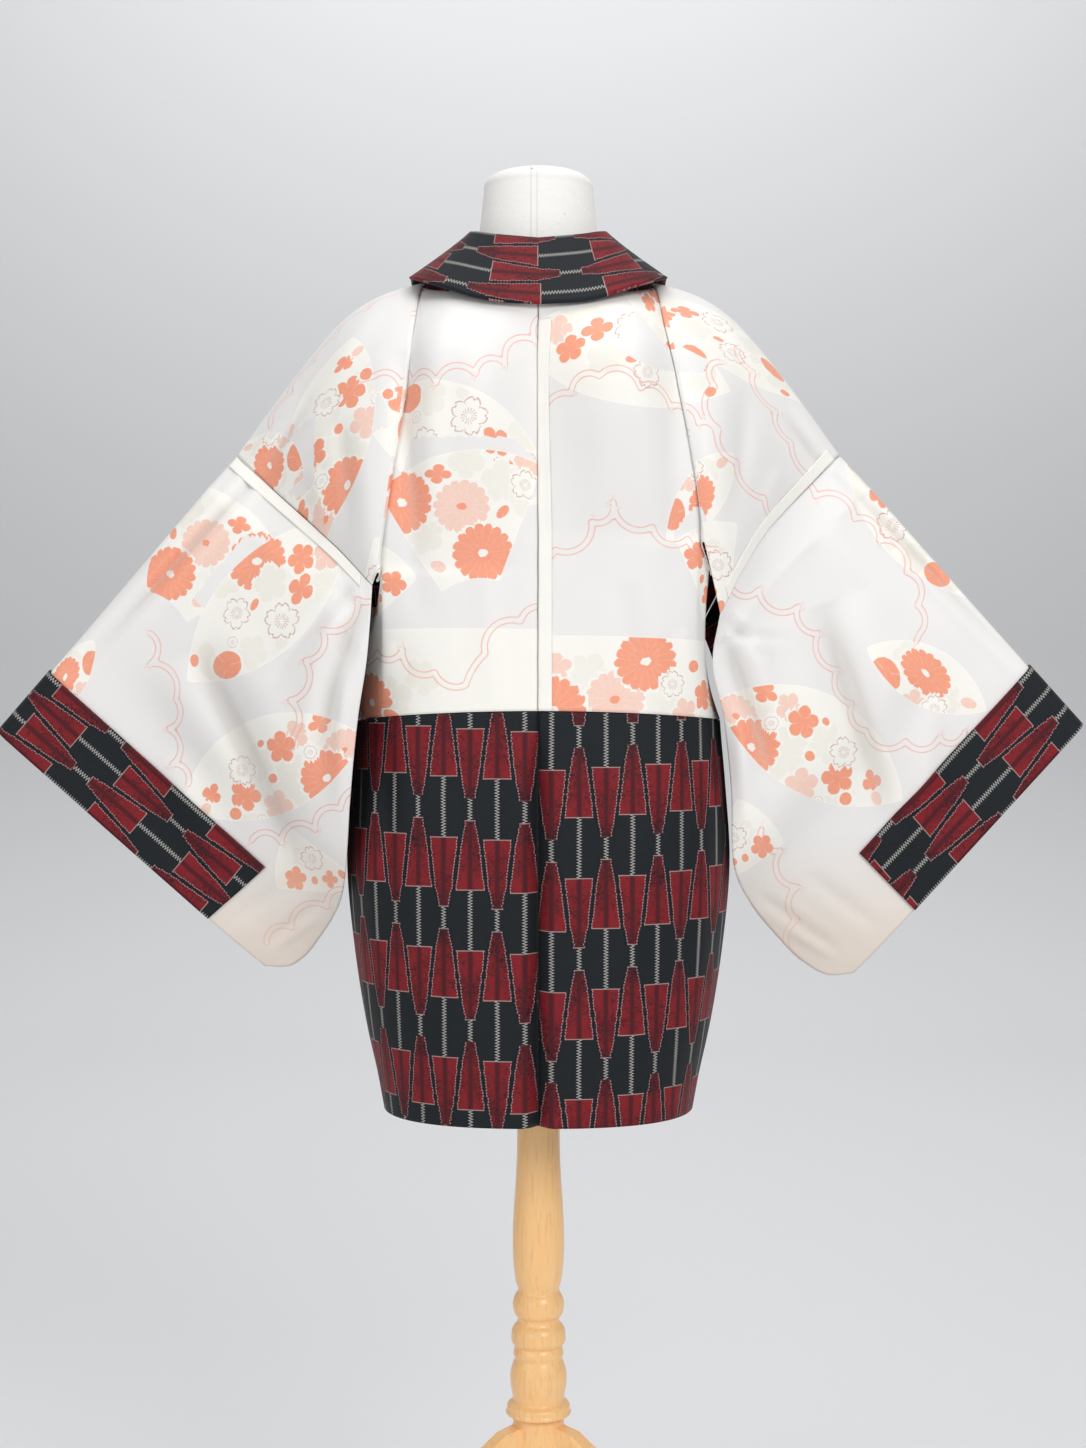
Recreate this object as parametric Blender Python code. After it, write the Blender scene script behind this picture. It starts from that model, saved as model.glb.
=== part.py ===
"""Haori shown inside out on a limbless dress form with a turned wooden stand.

Metres, +Z up, the garment's back faces -Y, and the stand's feet stand on Z = 0.
"""

import math

import bmesh
import bpy
import numpy as np
from mathutils import Vector

# Cloth
WALL = 0.0015  # lining or outer cloth, doubled and pressed
COLLAR_WALL = 0.0026  # collar band, folded double
STRIP_WALL = 0.0010  # seam allowance lying on a panel
SEAM_GAP = 0.0006  # half of the gap between two pieces at a seam
ARM_GAP = 0.0014  # the same at the armhole, where the cloth turns
CLEAR = 0.0010  # between a strip or band and the panel that it lies on
LAYER = 0.0065  # between the layers of the pleat behind the arm
HEM_SEAM = 0.990  # height of the seam between lining and outer cloth
HEM = 0.628
CUFF = 0.075  # width of the cuff band
CUFF_SPAN = 0.765  # share of the wrist edge that the band covers, on each layer
CENTRE = 0.0715  # the feet's middle lies this far in front of the form's axis
STRIP = 0.012  # width of a seam allowance

# Shoulder line, neck point to armhole: share, x, y, z
SHOULDER = (
    (0.00, 0.112, 0.0, 1.4035), (0.10, 0.134, 0.0, 1.3975), (0.22, 0.157, 0.0, 1.3880),
    (0.36, 0.184, 0.0, 1.3690), (0.50, 0.208, 0.0, 1.3430), (0.65, 0.233, 0.0, 1.3120),
    (0.82, 0.260, 0.0, 1.2760), (1.00, 0.286, 0.0, 1.2400),
)

# Inner edge of the shoulder cloth: front collar seam (-1) over the neck point (0)
# to the foot of the pleat at the back (1): share, x, y, z
FRONT_EDGE = (
    (-1.00, 0.092, 0.139, 1.1200), (-0.75, 0.094, 0.136, 1.2200), (-0.50, 0.098, 0.125, 1.3000),
    (-0.25, 0.106, 0.090, 1.3640),
)
PLEAT_EDGE = {
    "right": FRONT_EDGE + (
        (0.00, 0.112, 0.0, 1.4035), (0.25, 0.118, -0.104, 1.3440), (0.50, 0.128, -0.127, 1.2850),
        (0.75, 0.138, -0.131, 1.2200), (1.00, 0.1485, -0.125, 1.1450),
    ),
    "left": FRONT_EDGE + (
        (0.00, 0.112, 0.0, 1.4035), (0.25, 0.1155, -0.104, 1.3450), (0.50, 0.121, -0.129, 1.2780),
        (0.75, 0.1325, -0.134, 1.1980), (1.00, 0.1440, -0.131, 1.1180),
    ),
}

# Armhole seam, front end (-1) over the shoulder (0) to its back end (1): share, x, y, z
ARMHOLE = {
    "right": (
        (-1.00, 0.163, 0.116, 1.0850), (-0.60, 0.198, 0.082, 1.1480), (-0.25, 0.247, 0.037, 1.2030),
        (-0.08, 0.279, 0.014, 1.2350), (0.00, 0.286, 0.0, 1.2400), (0.08, 0.279, -0.014, 1.2350),
        (0.25, 0.247, -0.037, 1.2030), (0.50, 0.2115, -0.068, 1.1660), (0.75, 0.184, -0.098, 1.1260),
        (1.00, 0.1635, -0.108, 1.0850),
    ),
    "left": (
        (-1.00, 0.163, 0.116, 1.0850), (-0.60, 0.198, 0.082, 1.1480), (-0.25, 0.250, 0.034, 1.2050),
        (-0.08, 0.279, 0.014, 1.2330), (0.00, 0.286, 0.0, 1.2400), (0.08, 0.279, -0.014, 1.2330),
        (0.25, 0.2545, -0.033, 1.2110), (0.50, 0.2185, -0.065, 1.1790), (0.75, 0.182, -0.097, 1.1460),
        (1.00, 0.1515, -0.122, 1.1060),
    ),
}
PLEAT_WIDTH = {  # share of the armhole, width of the hidden fold as a share of the shoulder cloth
    "right": ((0.0, 0.05), (0.25, 0.20), (0.5, 0.36), (0.75, 0.48), (1.0, 0.40)),
    "left": ((0.0, 0.05), (0.25, 0.20), (0.5, 0.34), (0.75, 0.56), (1.0, 0.50)),
}
PLEAT_LAYER = ((0.0, 0.45), (0.25, 1.0), (1.0, 1.0))  # share of the armhole, share of LAYER

# Centre back from neckline to hem seam: height, y
CENTRE_BACK = (
    (HEM, -0.128), (0.75, -0.134), (0.86, -0.137), (HEM_SEAM, -0.133), (1.10, -0.129),
    (1.20, -0.127), (1.30, -0.122), (1.372, -0.113), (1.400, -0.105),
)

# Body below the armholes, one half: height, half width, depth behind, depth in front, roundness
BODY = (
    (HEM, 0.1450, 0.130, 0.146, 2.5), (0.660, 0.1510, 0.132, 0.147, 2.5),
    (0.700, 0.1600, 0.135, 0.148, 2.5), (0.780, 0.1730, 0.138, 0.149, 2.5),
    (0.860, 0.1795, 0.140, 0.149, 2.6), (0.930, 0.1750, 0.139, 0.147, 2.8),
    (HEM_SEAM, 0.1700, 0.134, 0.144, 2.9), (1.060, 0.1680, 0.132, 0.142, 3.0),
)
# Where the body's seams lie on the half ring: height, back edge, front edge, collar seam
RING_SEAMS = ((HEM, 0.520, 0.610, 0.800), (HEM_SEAM, 0.545, 0.565, 0.815))

# Neckline at the back, centre to neck point: share, x, y, z
NECKLINE = ((0.0, 0.0, -0.1125, 1.3650), (0.35, 0.045, -0.1045, 1.3690), (0.65, 0.082, -0.077, 1.3800),
            (0.85, 0.101, -0.038, 1.3900))
# Free side edge of the back lining at the foot of the armhole, from the pleat forwards: x, y
SIDE_TOP = {
    "right": ((0.1500, -0.078), (0.1470, -0.048), (0.1460, -0.018)),
    "left": ((0.1530, -0.082), (0.1550, -0.048), (0.1530, -0.018)),
}
SIDE_PINCH = {"right": 0.010, "left": 0.006}  # how far the arm presses that side in

# Sleeve, one loom width folded along its top edge
WRIST_TOP = {"right": (0.5145, 0.0, 0.9850), "left": (0.5110, 0.0, 0.9790)}
# Free inner edge and foot seam, armhole to wrist: share, x, y of the back layer, z
SLEEVE_FOOT = {
    "right": (
        (0.00, 0.1635, -0.108, 1.0850), (0.10, 0.1575, -0.092, 1.0450), (0.26, 0.1690, -0.080, 0.9900),
        (0.42, 0.1765, -0.074, 0.9200), (0.54, 0.1790, -0.064, 0.8600), (0.66, 0.1960, -0.030, 0.8220),
        (0.78, 0.2260, -0.010, 0.7850), (0.88, 0.2520, -0.0016, 0.7600), (0.95, 0.2760, -0.0013, 0.7480),
        (1.00, 0.2990, -0.0013, 0.7500),
    ),
    "left": (
        (0.00, 0.1515, -0.122, 1.1060), (0.12, 0.1595, -0.130, 1.0500), (0.27, 0.1670, -0.130, 0.9900),
        (0.42, 0.1715, -0.118, 0.9200), (0.54, 0.1760, -0.086, 0.8570), (0.66, 0.1860, -0.038, 0.8180),
        (0.78, 0.2060, -0.012, 0.7850), (0.88, 0.2240, -0.0016, 0.7640), (0.95, 0.2400, -0.0013, 0.7560),
        (1.00, 0.2600, -0.0013, 0.7570),
    ),
}
FOOT_SEAM = 0.66  # from here to the wrist the two layers are sewn together
SLEEVE_FRONT = (  # the same edge on the front layer, as far as the foot seam
    (0.00, 0.1630, 0.116, 1.0850), (0.12, 0.1680, 0.127, 1.0400), (0.27, 0.1740, 0.126, 0.9850),
    (0.42, 0.1780, 0.110, 0.9200), (0.54, 0.1800, 0.080, 0.8580),
)
TOP_ROUND = 0.013  # half thickness of the rolled top edge of the sleeve

# Collar, centre back to front hem: share, inner x y z, outer x y z
COLLAR = (
    (0.00, 0.000, -0.077, 1.4290, 0.000, -0.1235, 1.3600),
    (0.04, 0.036, -0.073, 1.4330, 0.045, -0.1200, 1.3640),
    (0.08, 0.058, -0.055, 1.4400, 0.088, -0.1010, 1.3800),
    (0.12, 0.064, -0.026, 1.4450, 0.118, -0.0570, 1.3990),
    (0.16, 0.062, 0.010, 1.4430, 0.1230, 0.0000, 1.4085),
    (0.21, 0.056, 0.058, 1.4200, 0.1200, 0.0680, 1.3900),
    (0.28, 0.049, 0.110, 1.3600, 0.1130, 0.1210, 1.3440),
    (0.40, 0.045, 0.140, 1.2500, 0.1060, 0.1450, 1.2450),
    (0.60, 0.045, 0.146, 1.0600, 0.1050, 0.1460, 1.0600),
    (0.80, 0.047, 0.149, 0.8500, 0.1070, 0.1450, 0.8500),
    (1.00, 0.046, 0.148, HEM, 0.1010, 0.1370, HEM),
)

# Dress form: height, half width, depth behind, depth in front, roundness
TORSO = (
    (0.700, 0.125, 0.082, 0.080, 2.2), (0.715, 0.138, 0.092, 0.090, 2.2), (0.760, 0.144, 0.098, 0.095, 2.2),
    (0.860, 0.148, 0.100, 0.100, 2.2), (0.960, 0.134, 0.088, 0.092, 2.2), (1.040, 0.121, 0.080, 0.086, 2.2),
    (1.120, 0.128, 0.088, 0.100, 2.3), (1.200, 0.140, 0.098, 0.116, 2.4), (1.260, 0.149, 0.102, 0.112, 2.5),
    (1.310, 0.156, 0.097, 0.096, 2.6), (1.345, 0.153, 0.086, 0.078, 2.6), (1.365, 0.138, 0.077, 0.067, 2.5),
    (1.378, 0.118, 0.070, 0.062, 2.3), (1.390, 0.094, 0.064, 0.059, 2.1), (1.402, 0.075, 0.060, 0.057, 2.0),
    (1.420, 0.063, 0.058, 0.056, 2.0), (1.440, 0.058, 0.0565, 0.055, 2.0), (1.465, 0.0545, 0.0545, 0.0535, 2.0),
    (1.492, 0.0520, 0.0520, 0.0515, 2.0), (1.500, 0.0500, 0.0500, 0.0495, 2.0), (1.504, 0.0440, 0.0440, 0.0435, 2.0),
)

# Turned column from the form down to the hub: height, radius
COLUMN = (
    (0.6985, 0.0210), (0.6300, 0.0205), (0.5850, 0.0203), (0.5550, 0.0215), (0.5250, 0.0235), (0.4980, 0.0245),
    (0.4750, 0.0238), (0.4570, 0.0215), (0.4480, 0.0198), (0.4455, 0.0215), (0.4400, 0.0238), (0.4320, 0.0240),
    (0.4260, 0.0222), (0.4235, 0.0200), (0.4185, 0.0205), (0.4150, 0.0235), (0.4060, 0.0258), (0.3990, 0.0246),
    (0.3962, 0.0222), (0.3935, 0.0230), (0.3885, 0.0238), (0.3850, 0.0226), (0.3820, 0.0236), (0.3700, 0.0268),
    (0.3580, 0.0262), (0.3480, 0.0246), (0.3440, 0.0250), (0.3420, 0.0285), (0.3370, 0.0298), (0.3320, 0.0296),
    (0.3303, 0.0250),
)
HUB = ((0.3300, 0.0230), (0.3250, 0.0240), (0.2400, 0.0240), (0.2340, 0.0225), (0.2300, 0.0180), (0.2285, 0.0080))
# Leg from the hub to the foot: reach, top, underside
LEG = (
    (0.0243, 0.3230, 0.2480), (0.0400, 0.3190, 0.2500), (0.0650, 0.3020, 0.2440), (0.0950, 0.2680, 0.2150),
    (0.1250, 0.2200, 0.1680), (0.1500, 0.1700, 0.1180), (0.1750, 0.1240, 0.0760), (0.2050, 0.0830, 0.0400),
    (0.2400, 0.0540, 0.0140), (0.2700, 0.0380, 0.0000), (0.2950, 0.0290, 0.0000), (0.3050, 0.0240, 0.0000),
)
LEG_THICK = 0.022
LEG_TURNS = {"stand_leg_left": 210.0, "stand_leg_right": -30.0, "stand_leg_front": 90.0}

COLOURS = {  # base colour, roughness
    "lining": ((0.82, 0.80, 0.77), 0.55),
    "outer": ((0.045, 0.035, 0.04), 0.6),
    "form": ((0.78, 0.75, 0.68), 0.85),
    "wood": ((0.62, 0.40, 0.20), 0.4),
}


def spline(table, share):
    """Smooth curve through a table whose first column is the parameter."""
    rows = np.asarray(table, float)
    knots, values = rows[:, 0], rows[:, 1:]
    share = np.clip(np.asarray(share, float), knots[0], knots[-1])
    step = np.diff(knots)[:, None]
    secant = np.diff(values, axis=0) / step
    slope = np.empty_like(values)
    slope[0], slope[-1] = secant[0], secant[-1]
    before, after = step[:-1], step[1:]
    slope[1:-1] = (secant[:-1] * after + secant[1:] * before) / (before + after)
    cell = np.clip(np.searchsorted(knots, share, side="right") - 1, 0, len(knots) - 2)
    length = step[cell, 0]
    s = (share - knots[cell]) / length
    s, length = s[..., None], length[..., None]
    return (
        values[cell] * (2 * s**3 - 3 * s**2 + 1) + slope[cell] * length * (s**3 - 2 * s**2 + s)
        + values[cell + 1] * (3 * s**2 - 2 * s**3) + slope[cell + 1] * length * (s**3 - s**2)
    )


def ease(share):
    return share * share * (3 - 2 * share)


def span(across, down, left, right, top, foot):
    """Surface between four edge curves; it leaves the top edge square to it."""
    a, d = across[..., None], ease(down)[..., None]
    zero, one = np.zeros_like(across), np.ones_like(across)
    corners = (
        (1 - a) * (1 - d) * top(zero) + a * (1 - d) * top(one) + (1 - a) * d * foot(zero) + a * d * foot(one)
    )
    return (1 - a) * left(down) + a * right(down) + (1 - d) * top(across) + d * foot(across) - corners


def grid(across, down):
    return np.meshgrid(np.asarray(across, float), np.asarray(down, float))


def surface_normals(points):
    """Unit normals of a grid of points, away from the body's axis side given by its winding."""
    normal = np.cross(np.gradient(points, axis=1), np.gradient(points, axis=0))
    return normal / np.maximum(np.linalg.norm(normal, axis=-1, keepdims=True), 1e-9)


# ---- the garment's surfaces, for the right half (x > 0) ----


def shoulder_cloth(side, across, down):
    """Cloth from the neck and pleat edge (0) to the armhole seam (1); down is -1 front, 1 back."""
    back = np.maximum(down, 0.0)
    front = np.maximum(-down, 0.0)

    def line(share):
        return spline(SHOULDER, share)

    def straight(sign):
        start, end = spline(PLEAT_EDGE[side], sign), spline(ARMHOLE[side], sign)
        return lambda share: start + (end - start) * share[..., None]

    behind = span(
        across, back, lambda d: spline(PLEAT_EDGE[side], d), lambda d: spline(ARMHOLE[side], d),
        line, straight(1.0),
    )
    before = span(
        across, front, lambda d: spline(PLEAT_EDGE[side], -d), lambda d: spline(ARMHOLE[side], -d),
        line, straight(-1.0),
    )
    swell = 16 * across * (1 - across)
    behind[..., 1] -= 0.016 * swell * back * (1 - back)
    before[..., 1] += 0.020 * swell * front * (1 - front)
    return np.where((down >= 0)[..., None], behind, before)


def body_ring(height, share):
    """Half ring of the body at a height; share runs from centre back (0) to centre front (1)."""
    height, share = np.broadcast_arrays(np.asarray(height, float), np.asarray(share, float))
    wide, behind, before, power = np.moveaxis(spline(BODY, height), -1, 0)
    fine = np.linspace(0.0, math.pi, 181)
    shape = height.shape
    points = np.empty(shape + (3,))
    for index in np.ndindex(shape):
        p = 2.0 / power[index]
        x = wide[index] * np.abs(np.sin(fine)) ** p
        y = np.where(fine < math.pi / 2, -behind[index], before[index]) * np.abs(np.cos(fine)) ** p
        run = np.concatenate(([0.0], np.cumsum(np.hypot(np.diff(x), np.diff(y)))))
        at = np.interp(share[index] * run[-1], run, fine)
        points[index] = (np.interp(at, fine, x), np.interp(at, fine, y), height[index])
    return points


def row_walk(points, distance, start=0):
    """Point on each row of a grid at a distance from the row's first (0) or last (-1) column."""
    rows = points if start == 0 else points[:, ::-1]
    out = np.empty((rows.shape[0], 3))
    for i, row in enumerate(rows):
        run = np.concatenate(([0.0], np.cumsum(np.linalg.norm(np.diff(row, axis=0), axis=1))))
        out[i] = [np.interp(distance, run, row[:, k]) for k in range(3)]
    return out


def add_column(points, distance):
    """A column at a distance from the first one, where a strip's edge will lie."""
    return np.concatenate((points[:, :1], row_walk(points, distance)[:, None], points[:, 1:]), axis=1)


def pull(points, edge, distance=SEAM_GAP):
    """Draw the first (0) or last (-1) column of a grid inwards, to leave a gap at a seam."""
    points = points.copy()
    way = points[:, 1 if edge == 0 else -2] - points[:, edge]
    points[:, edge] += way / np.linalg.norm(way, axis=-1, keepdims=True) * distance
    return points


def offset_points(points, distance, outward):
    """Points moved along the surface normal, to the side that `outward` points to."""
    normal = surface_normals(points)
    if np.sum(normal * outward) < 0:
        normal = -normal
    return points + normal * distance


# ---- solids ----


def cloth_solid(name, grids, wall, colour):
    """One closed wall from one or more grids of middle-surface points, welded where they meet."""
    sheet = bmesh.new()
    for points in grids:
        rows, columns = points.shape[:2]
        verts = [[sheet.verts.new(points[i, j]) for j in range(columns)] for i in range(rows)]
        for i in range(rows - 1):
            for j in range(columns - 1):
                sheet.faces.new((verts[i][j], verts[i][j + 1], verts[i + 1][j + 1], verts[i + 1][j]))
    bmesh.ops.remove_doubles(sheet, verts=sheet.verts, dist=0.00005)
    bmesh.ops.recalc_face_normals(sheet, faces=sheet.faces)
    sheet.normal_update()
    sheet.verts.index_update()
    solid = bmesh.new()
    outer = [solid.verts.new(v.co + v.normal * wall / 2) for v in sheet.verts]
    inner = [solid.verts.new(v.co - v.normal * wall / 2) for v in sheet.verts]
    for face in sheet.faces:
        index = [v.index for v in face.verts]
        solid.faces.new([outer[i] for i in index])
        solid.faces.new([inner[i] for i in reversed(index)])
    for edge in sheet.edges:
        if edge.is_boundary:
            a, b = (v.index for v in edge.verts)
            solid.faces.new((outer[a], outer[b], inner[b], inner[a]))
    sheet.free()
    return finish(name, solid, colour)


def loft_solid(name, rings, colour):
    """Closed solid through rings of points, with flat ends."""
    solid = bmesh.new()
    loops = [[solid.verts.new(p) for p in ring] for ring in rings]
    for lower, upper in zip(loops, loops[1:]):
        for i in range(len(lower)):
            j = (i + 1) % len(lower)
            solid.faces.new((lower[i], lower[j], upper[j], upper[i]))
    solid.faces.new(loops[0])
    solid.faces.new(loops[-1])
    return finish(name, solid, colour)


def finish(name, solid, colour):
    bmesh.ops.triangulate(solid, faces=solid.faces)
    bmesh.ops.recalc_face_normals(solid, faces=solid.faces)
    mesh = bpy.data.meshes.new(name)
    solid.to_mesh(mesh)
    solid.free()
    mesh.materials.append(material(colour))
    part = bpy.data.objects.new(name, mesh)
    part.location.y = -CENTRE
    bpy.context.scene.collection.objects.link(part)
    return part


def material(name):
    if name in bpy.data.materials:
        return bpy.data.materials[name]
    base, rough = COLOURS[name]
    made = bpy.data.materials.new(name)
    made.use_nodes = True
    shader = made.node_tree.nodes["Principled BSDF"]
    shader.inputs["Base Color"].default_value = (*base, 1.0)
    shader.inputs["Roughness"].default_value = rough
    return made


def placed(points, side):
    """The right half is modelled; the left is its mirror image."""
    return points * np.array([1.0 if side == "right" else -1.0, 1.0, 1.0])


# ---- garment ----

BACK_ROWS = (0.0, 0.08, 0.18, 0.30, 0.42, 0.55, 0.68, 0.80, 0.91, 1.0)
FRONT_ROWS = (-1.0, -0.84, -0.66, -0.48, -0.32, -0.18, -0.08)
SHOULDER_COLUMNS = (0.0, 0.14, 0.30, 0.46, 0.62, 0.80, 1.0)
BACK_COLUMNS = (0.0, 0.12, 0.26, 0.42, 0.58, 0.74, 0.88, 1.0)


def pleat_layers(side, down):
    """The hidden fold, from the shoulder cloth's edge inwards: one column of points each."""
    width = spline(PLEAT_WIDTH[side], down)[:, 0]
    layer = LAYER * spline(PLEAT_LAYER, down)[:, 0]

    def column(share, depth, shift=0.0):
        nudge = 0.02
        at = shoulder_cloth(side, share, down)
        along = shoulder_cloth(side, share + nudge, down) - shoulder_cloth(side, share, down)
        along /= np.linalg.norm(along, axis=-1, keepdims=True)
        lower = np.clip(down + nudge, 0.0, 1.0) - np.clip(down - nudge, 0.0, 1.0)
        fall = shoulder_cloth(side, share, np.clip(down + nudge, 0.0, 1.0))
        fall = (fall - shoulder_cloth(side, share, np.clip(down - nudge, 0.0, 1.0))) / lower[:, None]
        fall /= np.linalg.norm(fall, axis=-1, keepdims=True)
        inward = np.cross(along, fall)
        inward *= np.sign(np.sum(inward * np.array([0.0, 1.0, -0.3]), axis=-1, keepdims=True))
        inward /= np.linalg.norm(inward, axis=-1, keepdims=True)
        return at + inward * (layer * depth)[:, None] + along * shift

    none = np.zeros_like(down)
    return [
        column(none, 0.0), column(none, 0.5, -0.0034), column(none, 1.0), column(width * 0.5, 1.0),
        column(width, 1.0), column(width, 1.5, 0.0034), column(width, 2.0), column(width * 0.5, 2.0),
        column(none, 2.0),
    ]


def back_panel(side, across, down, hidden_edge):
    """Back of the lining from the centre seam (0) to under the pleat's edge (1)."""
    foot_height = PLEAT_EDGE[side][-1][3]

    def centre(share):
        height = NECKLINE[0][3] + (foot_height - NECKLINE[0][3]) * share
        y = spline(CENTRE_BACK, height)[..., 0]
        return np.stack((np.zeros_like(share), y, height), -1)

    def hidden(share):
        return np.stack([np.interp(share, BACK_ROWS, hidden_edge[:, k]) for k in range(3)], -1)

    def neckline(share):
        return spline(NECKLINE + ((1.0, *hidden_edge[0]),), share)

    def foot(share):
        start, end = centre(np.ones(1))[0], hidden_edge[-1]
        points = start + (end - start) * share[..., None]
        points[..., 1] = start[1] + (end[1] - start[1]) * share**3 - 0.006 * np.sin(math.pi * share)
        return points

    points = span(across, down, centre, hidden, neckline, foot)
    points[..., 1] -= 0.010 * np.sin(math.pi * across) * np.sin(math.pi * down)
    return points


def lower_back(side, top_row, rows):
    """Back lining from the foot of the armhole to the hem seam; top_row runs centre to free side edge."""
    run = np.concatenate(([0.0], np.cumsum(np.linalg.norm(np.diff(top_row, axis=0), axis=1))))
    share = run / run[-1] * RING_SEAMS[1][1]
    foot = body_ring(HEM_SEAM + SEAM_GAP, share)
    foot[0, 1] = spline(CENTRE_BACK, HEM_SEAM)[0]
    down = np.asarray(rows)[:, None, None]
    points = top_row * (1 - down) + foot * down
    wrap = np.clip((share / RING_SEAMS[1][1] - 0.5) * 4, 0, 1)
    points[..., 0] -= SIDE_PINCH[side] * wrap * np.sin(math.pi * down[..., 0])
    return points


def lower_front(top_row, rows):
    share = np.linspace(RING_SEAMS[1][3], RING_SEAMS[1][2], len(top_row))
    foot = body_ring(HEM_SEAM + SEAM_GAP, share)
    down = np.asarray(rows)[:, None, None]
    return top_row * (1 - down) + foot * down


def body_lining(side):
    """All of one lining panel as welded grids; also returned by name for what lies on it."""
    down = np.asarray(BACK_ROWS)
    layers = pleat_layers(side, down)
    pleat = np.stack(layers, axis=1)
    back = back_panel(side, *grid(BACK_COLUMNS, BACK_ROWS), layers[-1])
    back[:, -1] = layers[-1]
    across, spread = grid(SHOULDER_COLUMNS, FRONT_ROWS + BACK_ROWS)
    if side == "right":
        edges = shoulder_cloth(side, across, spread)
        strip_share = 1 - STRIP / np.linalg.norm(edges[:, -1] - edges[:, 0], axis=-1, keepdims=True)
        across = np.minimum(across, strip_share - 0.03)
        ends = np.ones_like(strip_share)
        across = np.concatenate((across[:, :-1], strip_share, ends), axis=1)
        spread = np.concatenate((spread, spread[:, :1]), axis=1)
    shoulder = shoulder_cloth(side, across, spread)
    shoulder[len(FRONT_ROWS):, 0] = layers[0]
    shoulder = pull(shoulder, -1, ARM_GAP)
    foot = back[-1]
    side_edge = np.array([(x, y, foot[-1, 2] - 0.022) for x, y in SIDE_TOP[side]])
    top_row = np.concatenate((foot, [layers[-2][-1], layers[-3][-1]], side_edge))
    lower = lower_back(side, top_row, (0.0, 0.25, 0.5, 0.75, 1.0))
    front = lower_front(shoulder[0], (0.0, 0.35, 0.7, 1.0))
    back[:, 0, 0] += SEAM_GAP
    lower[:, 0, 0] = SEAM_GAP
    turn = lower.shape[1] - len(side_edge) - 1
    side_wall, lower = lower[1:, turn:], lower[:, :turn + 1]
    back, lower = add_column(back, STRIP), add_column(lower, STRIP)
    return {
        "shoulder": shoulder, "pleat": pleat, "back": back, "lower": lower, "side": side_wall, "front": front,
    }


def hem_panel(start, end, columns, rows):
    """Outer cloth below the hem seam between two of the body's seams (columns of RING_SEAMS)."""
    heights = HEM_SEAM - SEAM_GAP - (HEM_SEAM - SEAM_GAP - HEM) * np.asarray(rows)
    first, last = (spline(RING_SEAMS, heights)[:, k] if k is not None else 0 * heights for k in (start, end))
    share = first[:, None] + (last - first)[:, None] * np.asarray(columns)
    points = body_ring(heights[:, None], share)
    if start is None:
        valley = np.exp(-((points[..., 0] / 0.012) ** 2))
        points[:, 0, 1] = spline(CENTRE_BACK, heights)[:, 0]
        points[..., 1] += 0.006 * valley * np.asarray(rows)[:, None]
    return pull(pull(points, 0), -1)


def sleeve_points(side, across, down):
    """Sleeve from armhole (0) to wrist (1); down is -1 front foot, 0 top edge, 1 back foot."""
    start = np.array(spline(ARMHOLE[side], 0.0))

    def half(sign, foot_table, share):
        def arm(d):
            return spline(ARMHOLE[side], sign * d)

        def wrist(d):
            foot = np.array([foot_table[-1][1], foot_table[-1][2], foot_table[-1][3]])
            top = np.array(WRIST_TOP[side])
            return top + (foot - top) * d[..., None]

        def top(s):
            return start + (np.array(WRIST_TOP[side]) - start) * s[..., None]

        def foot(s):
            return spline(foot_table, s)

        a, d = across[..., None], share[..., None]
        corners = (1 - a) * (1 - d) * top(0 * across) + a * (1 - d) * top(0 * across + 1)
        corners = corners + (1 - a) * d * foot(0 * across) + a * d * foot(0 * across + 1)
        points = (1 - a) * arm(share) + a * wrist(share) + (1 - d) * top(across) + d * foot(across) - corners
        height = share * np.linalg.norm(foot(across) - top(across), axis=-1)
        roll = np.sqrt(1 - (1 - np.clip(height / TOP_ROUND, 0, 1)) ** 2)
        points[..., 1] -= sign * TOP_ROUND * roll * np.clip(across / 0.12, 0, 1) * (1 - share**8)
        return points

    behind = half(1.0, SLEEVE_FOOT[side], np.maximum(down, 0.0))
    closed = [(share, x, -y, z) for share, x, y, z in SLEEVE_FOOT[side] if share >= FOOT_SEAM]
    before = half(-1.0, SLEEVE_FRONT + tuple(closed), np.maximum(-down, 0.0))
    return np.where((down >= 0)[..., None], behind, before)


SLEEVE_COLUMNS = (0.0, 0.06, 0.14, 0.24, 0.34, 0.44, 0.54, 0.64, 0.72, 0.80, 0.88, 0.94, 1.0)
SLEEVE_ROWS = (0.0, 0.012, 0.03, 0.06, 0.14, 0.28, 0.44, 0.60, 0.76, 0.90, 1.0)
SLEEVE_DOWN = tuple(-v for v in reversed(SLEEVE_ROWS[1:])) + SLEEVE_ROWS
OUTWARD_BACK = np.array([0.0, -1.0, 0.0])


def cuff_points(sleeve):
    """The band lies on the last stretch of the sleeve, clear of it all round."""
    keep = [i for i, v in enumerate(SLEEVE_DOWN) if abs(v) <= CUFF_SPAN]
    rows = sleeve[keep]
    columns = [row_walk(rows, reach, start=-1) for reach in (CUFF, CUFF * 0.66, CUFF * 0.33, 0.0)]
    points = np.stack(columns, axis=1)
    normal = surface_normals(points)
    centre = points.mean(axis=(0, 1))
    if np.sum(normal * (points - centre) * np.array([0.0, 1.0, 0.0])) < 0:
        normal = -normal
    return points + normal * (WALL + CLEAR)


def collar_points():
    share = np.array([0, 0.02, 0.04, 0.06, 0.08, 0.10, 0.12, 0.14, 0.16, 0.185, 0.21, 0.245, 0.28, 0.34, 0.40,
                      0.50, 0.60, 0.70, 0.80, 0.90, 1.0])
    edges = spline(COLLAR, share)
    across = np.array([0.0, 0.33, 0.67, 1.0])[:, None]
    half = edges[:, None, :3] * (1 - across) + edges[:, None, 3:] * across
    other = half[:0:-1] * np.array([-1.0, 1.0, 1.0])
    return np.concatenate((other, half))


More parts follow.
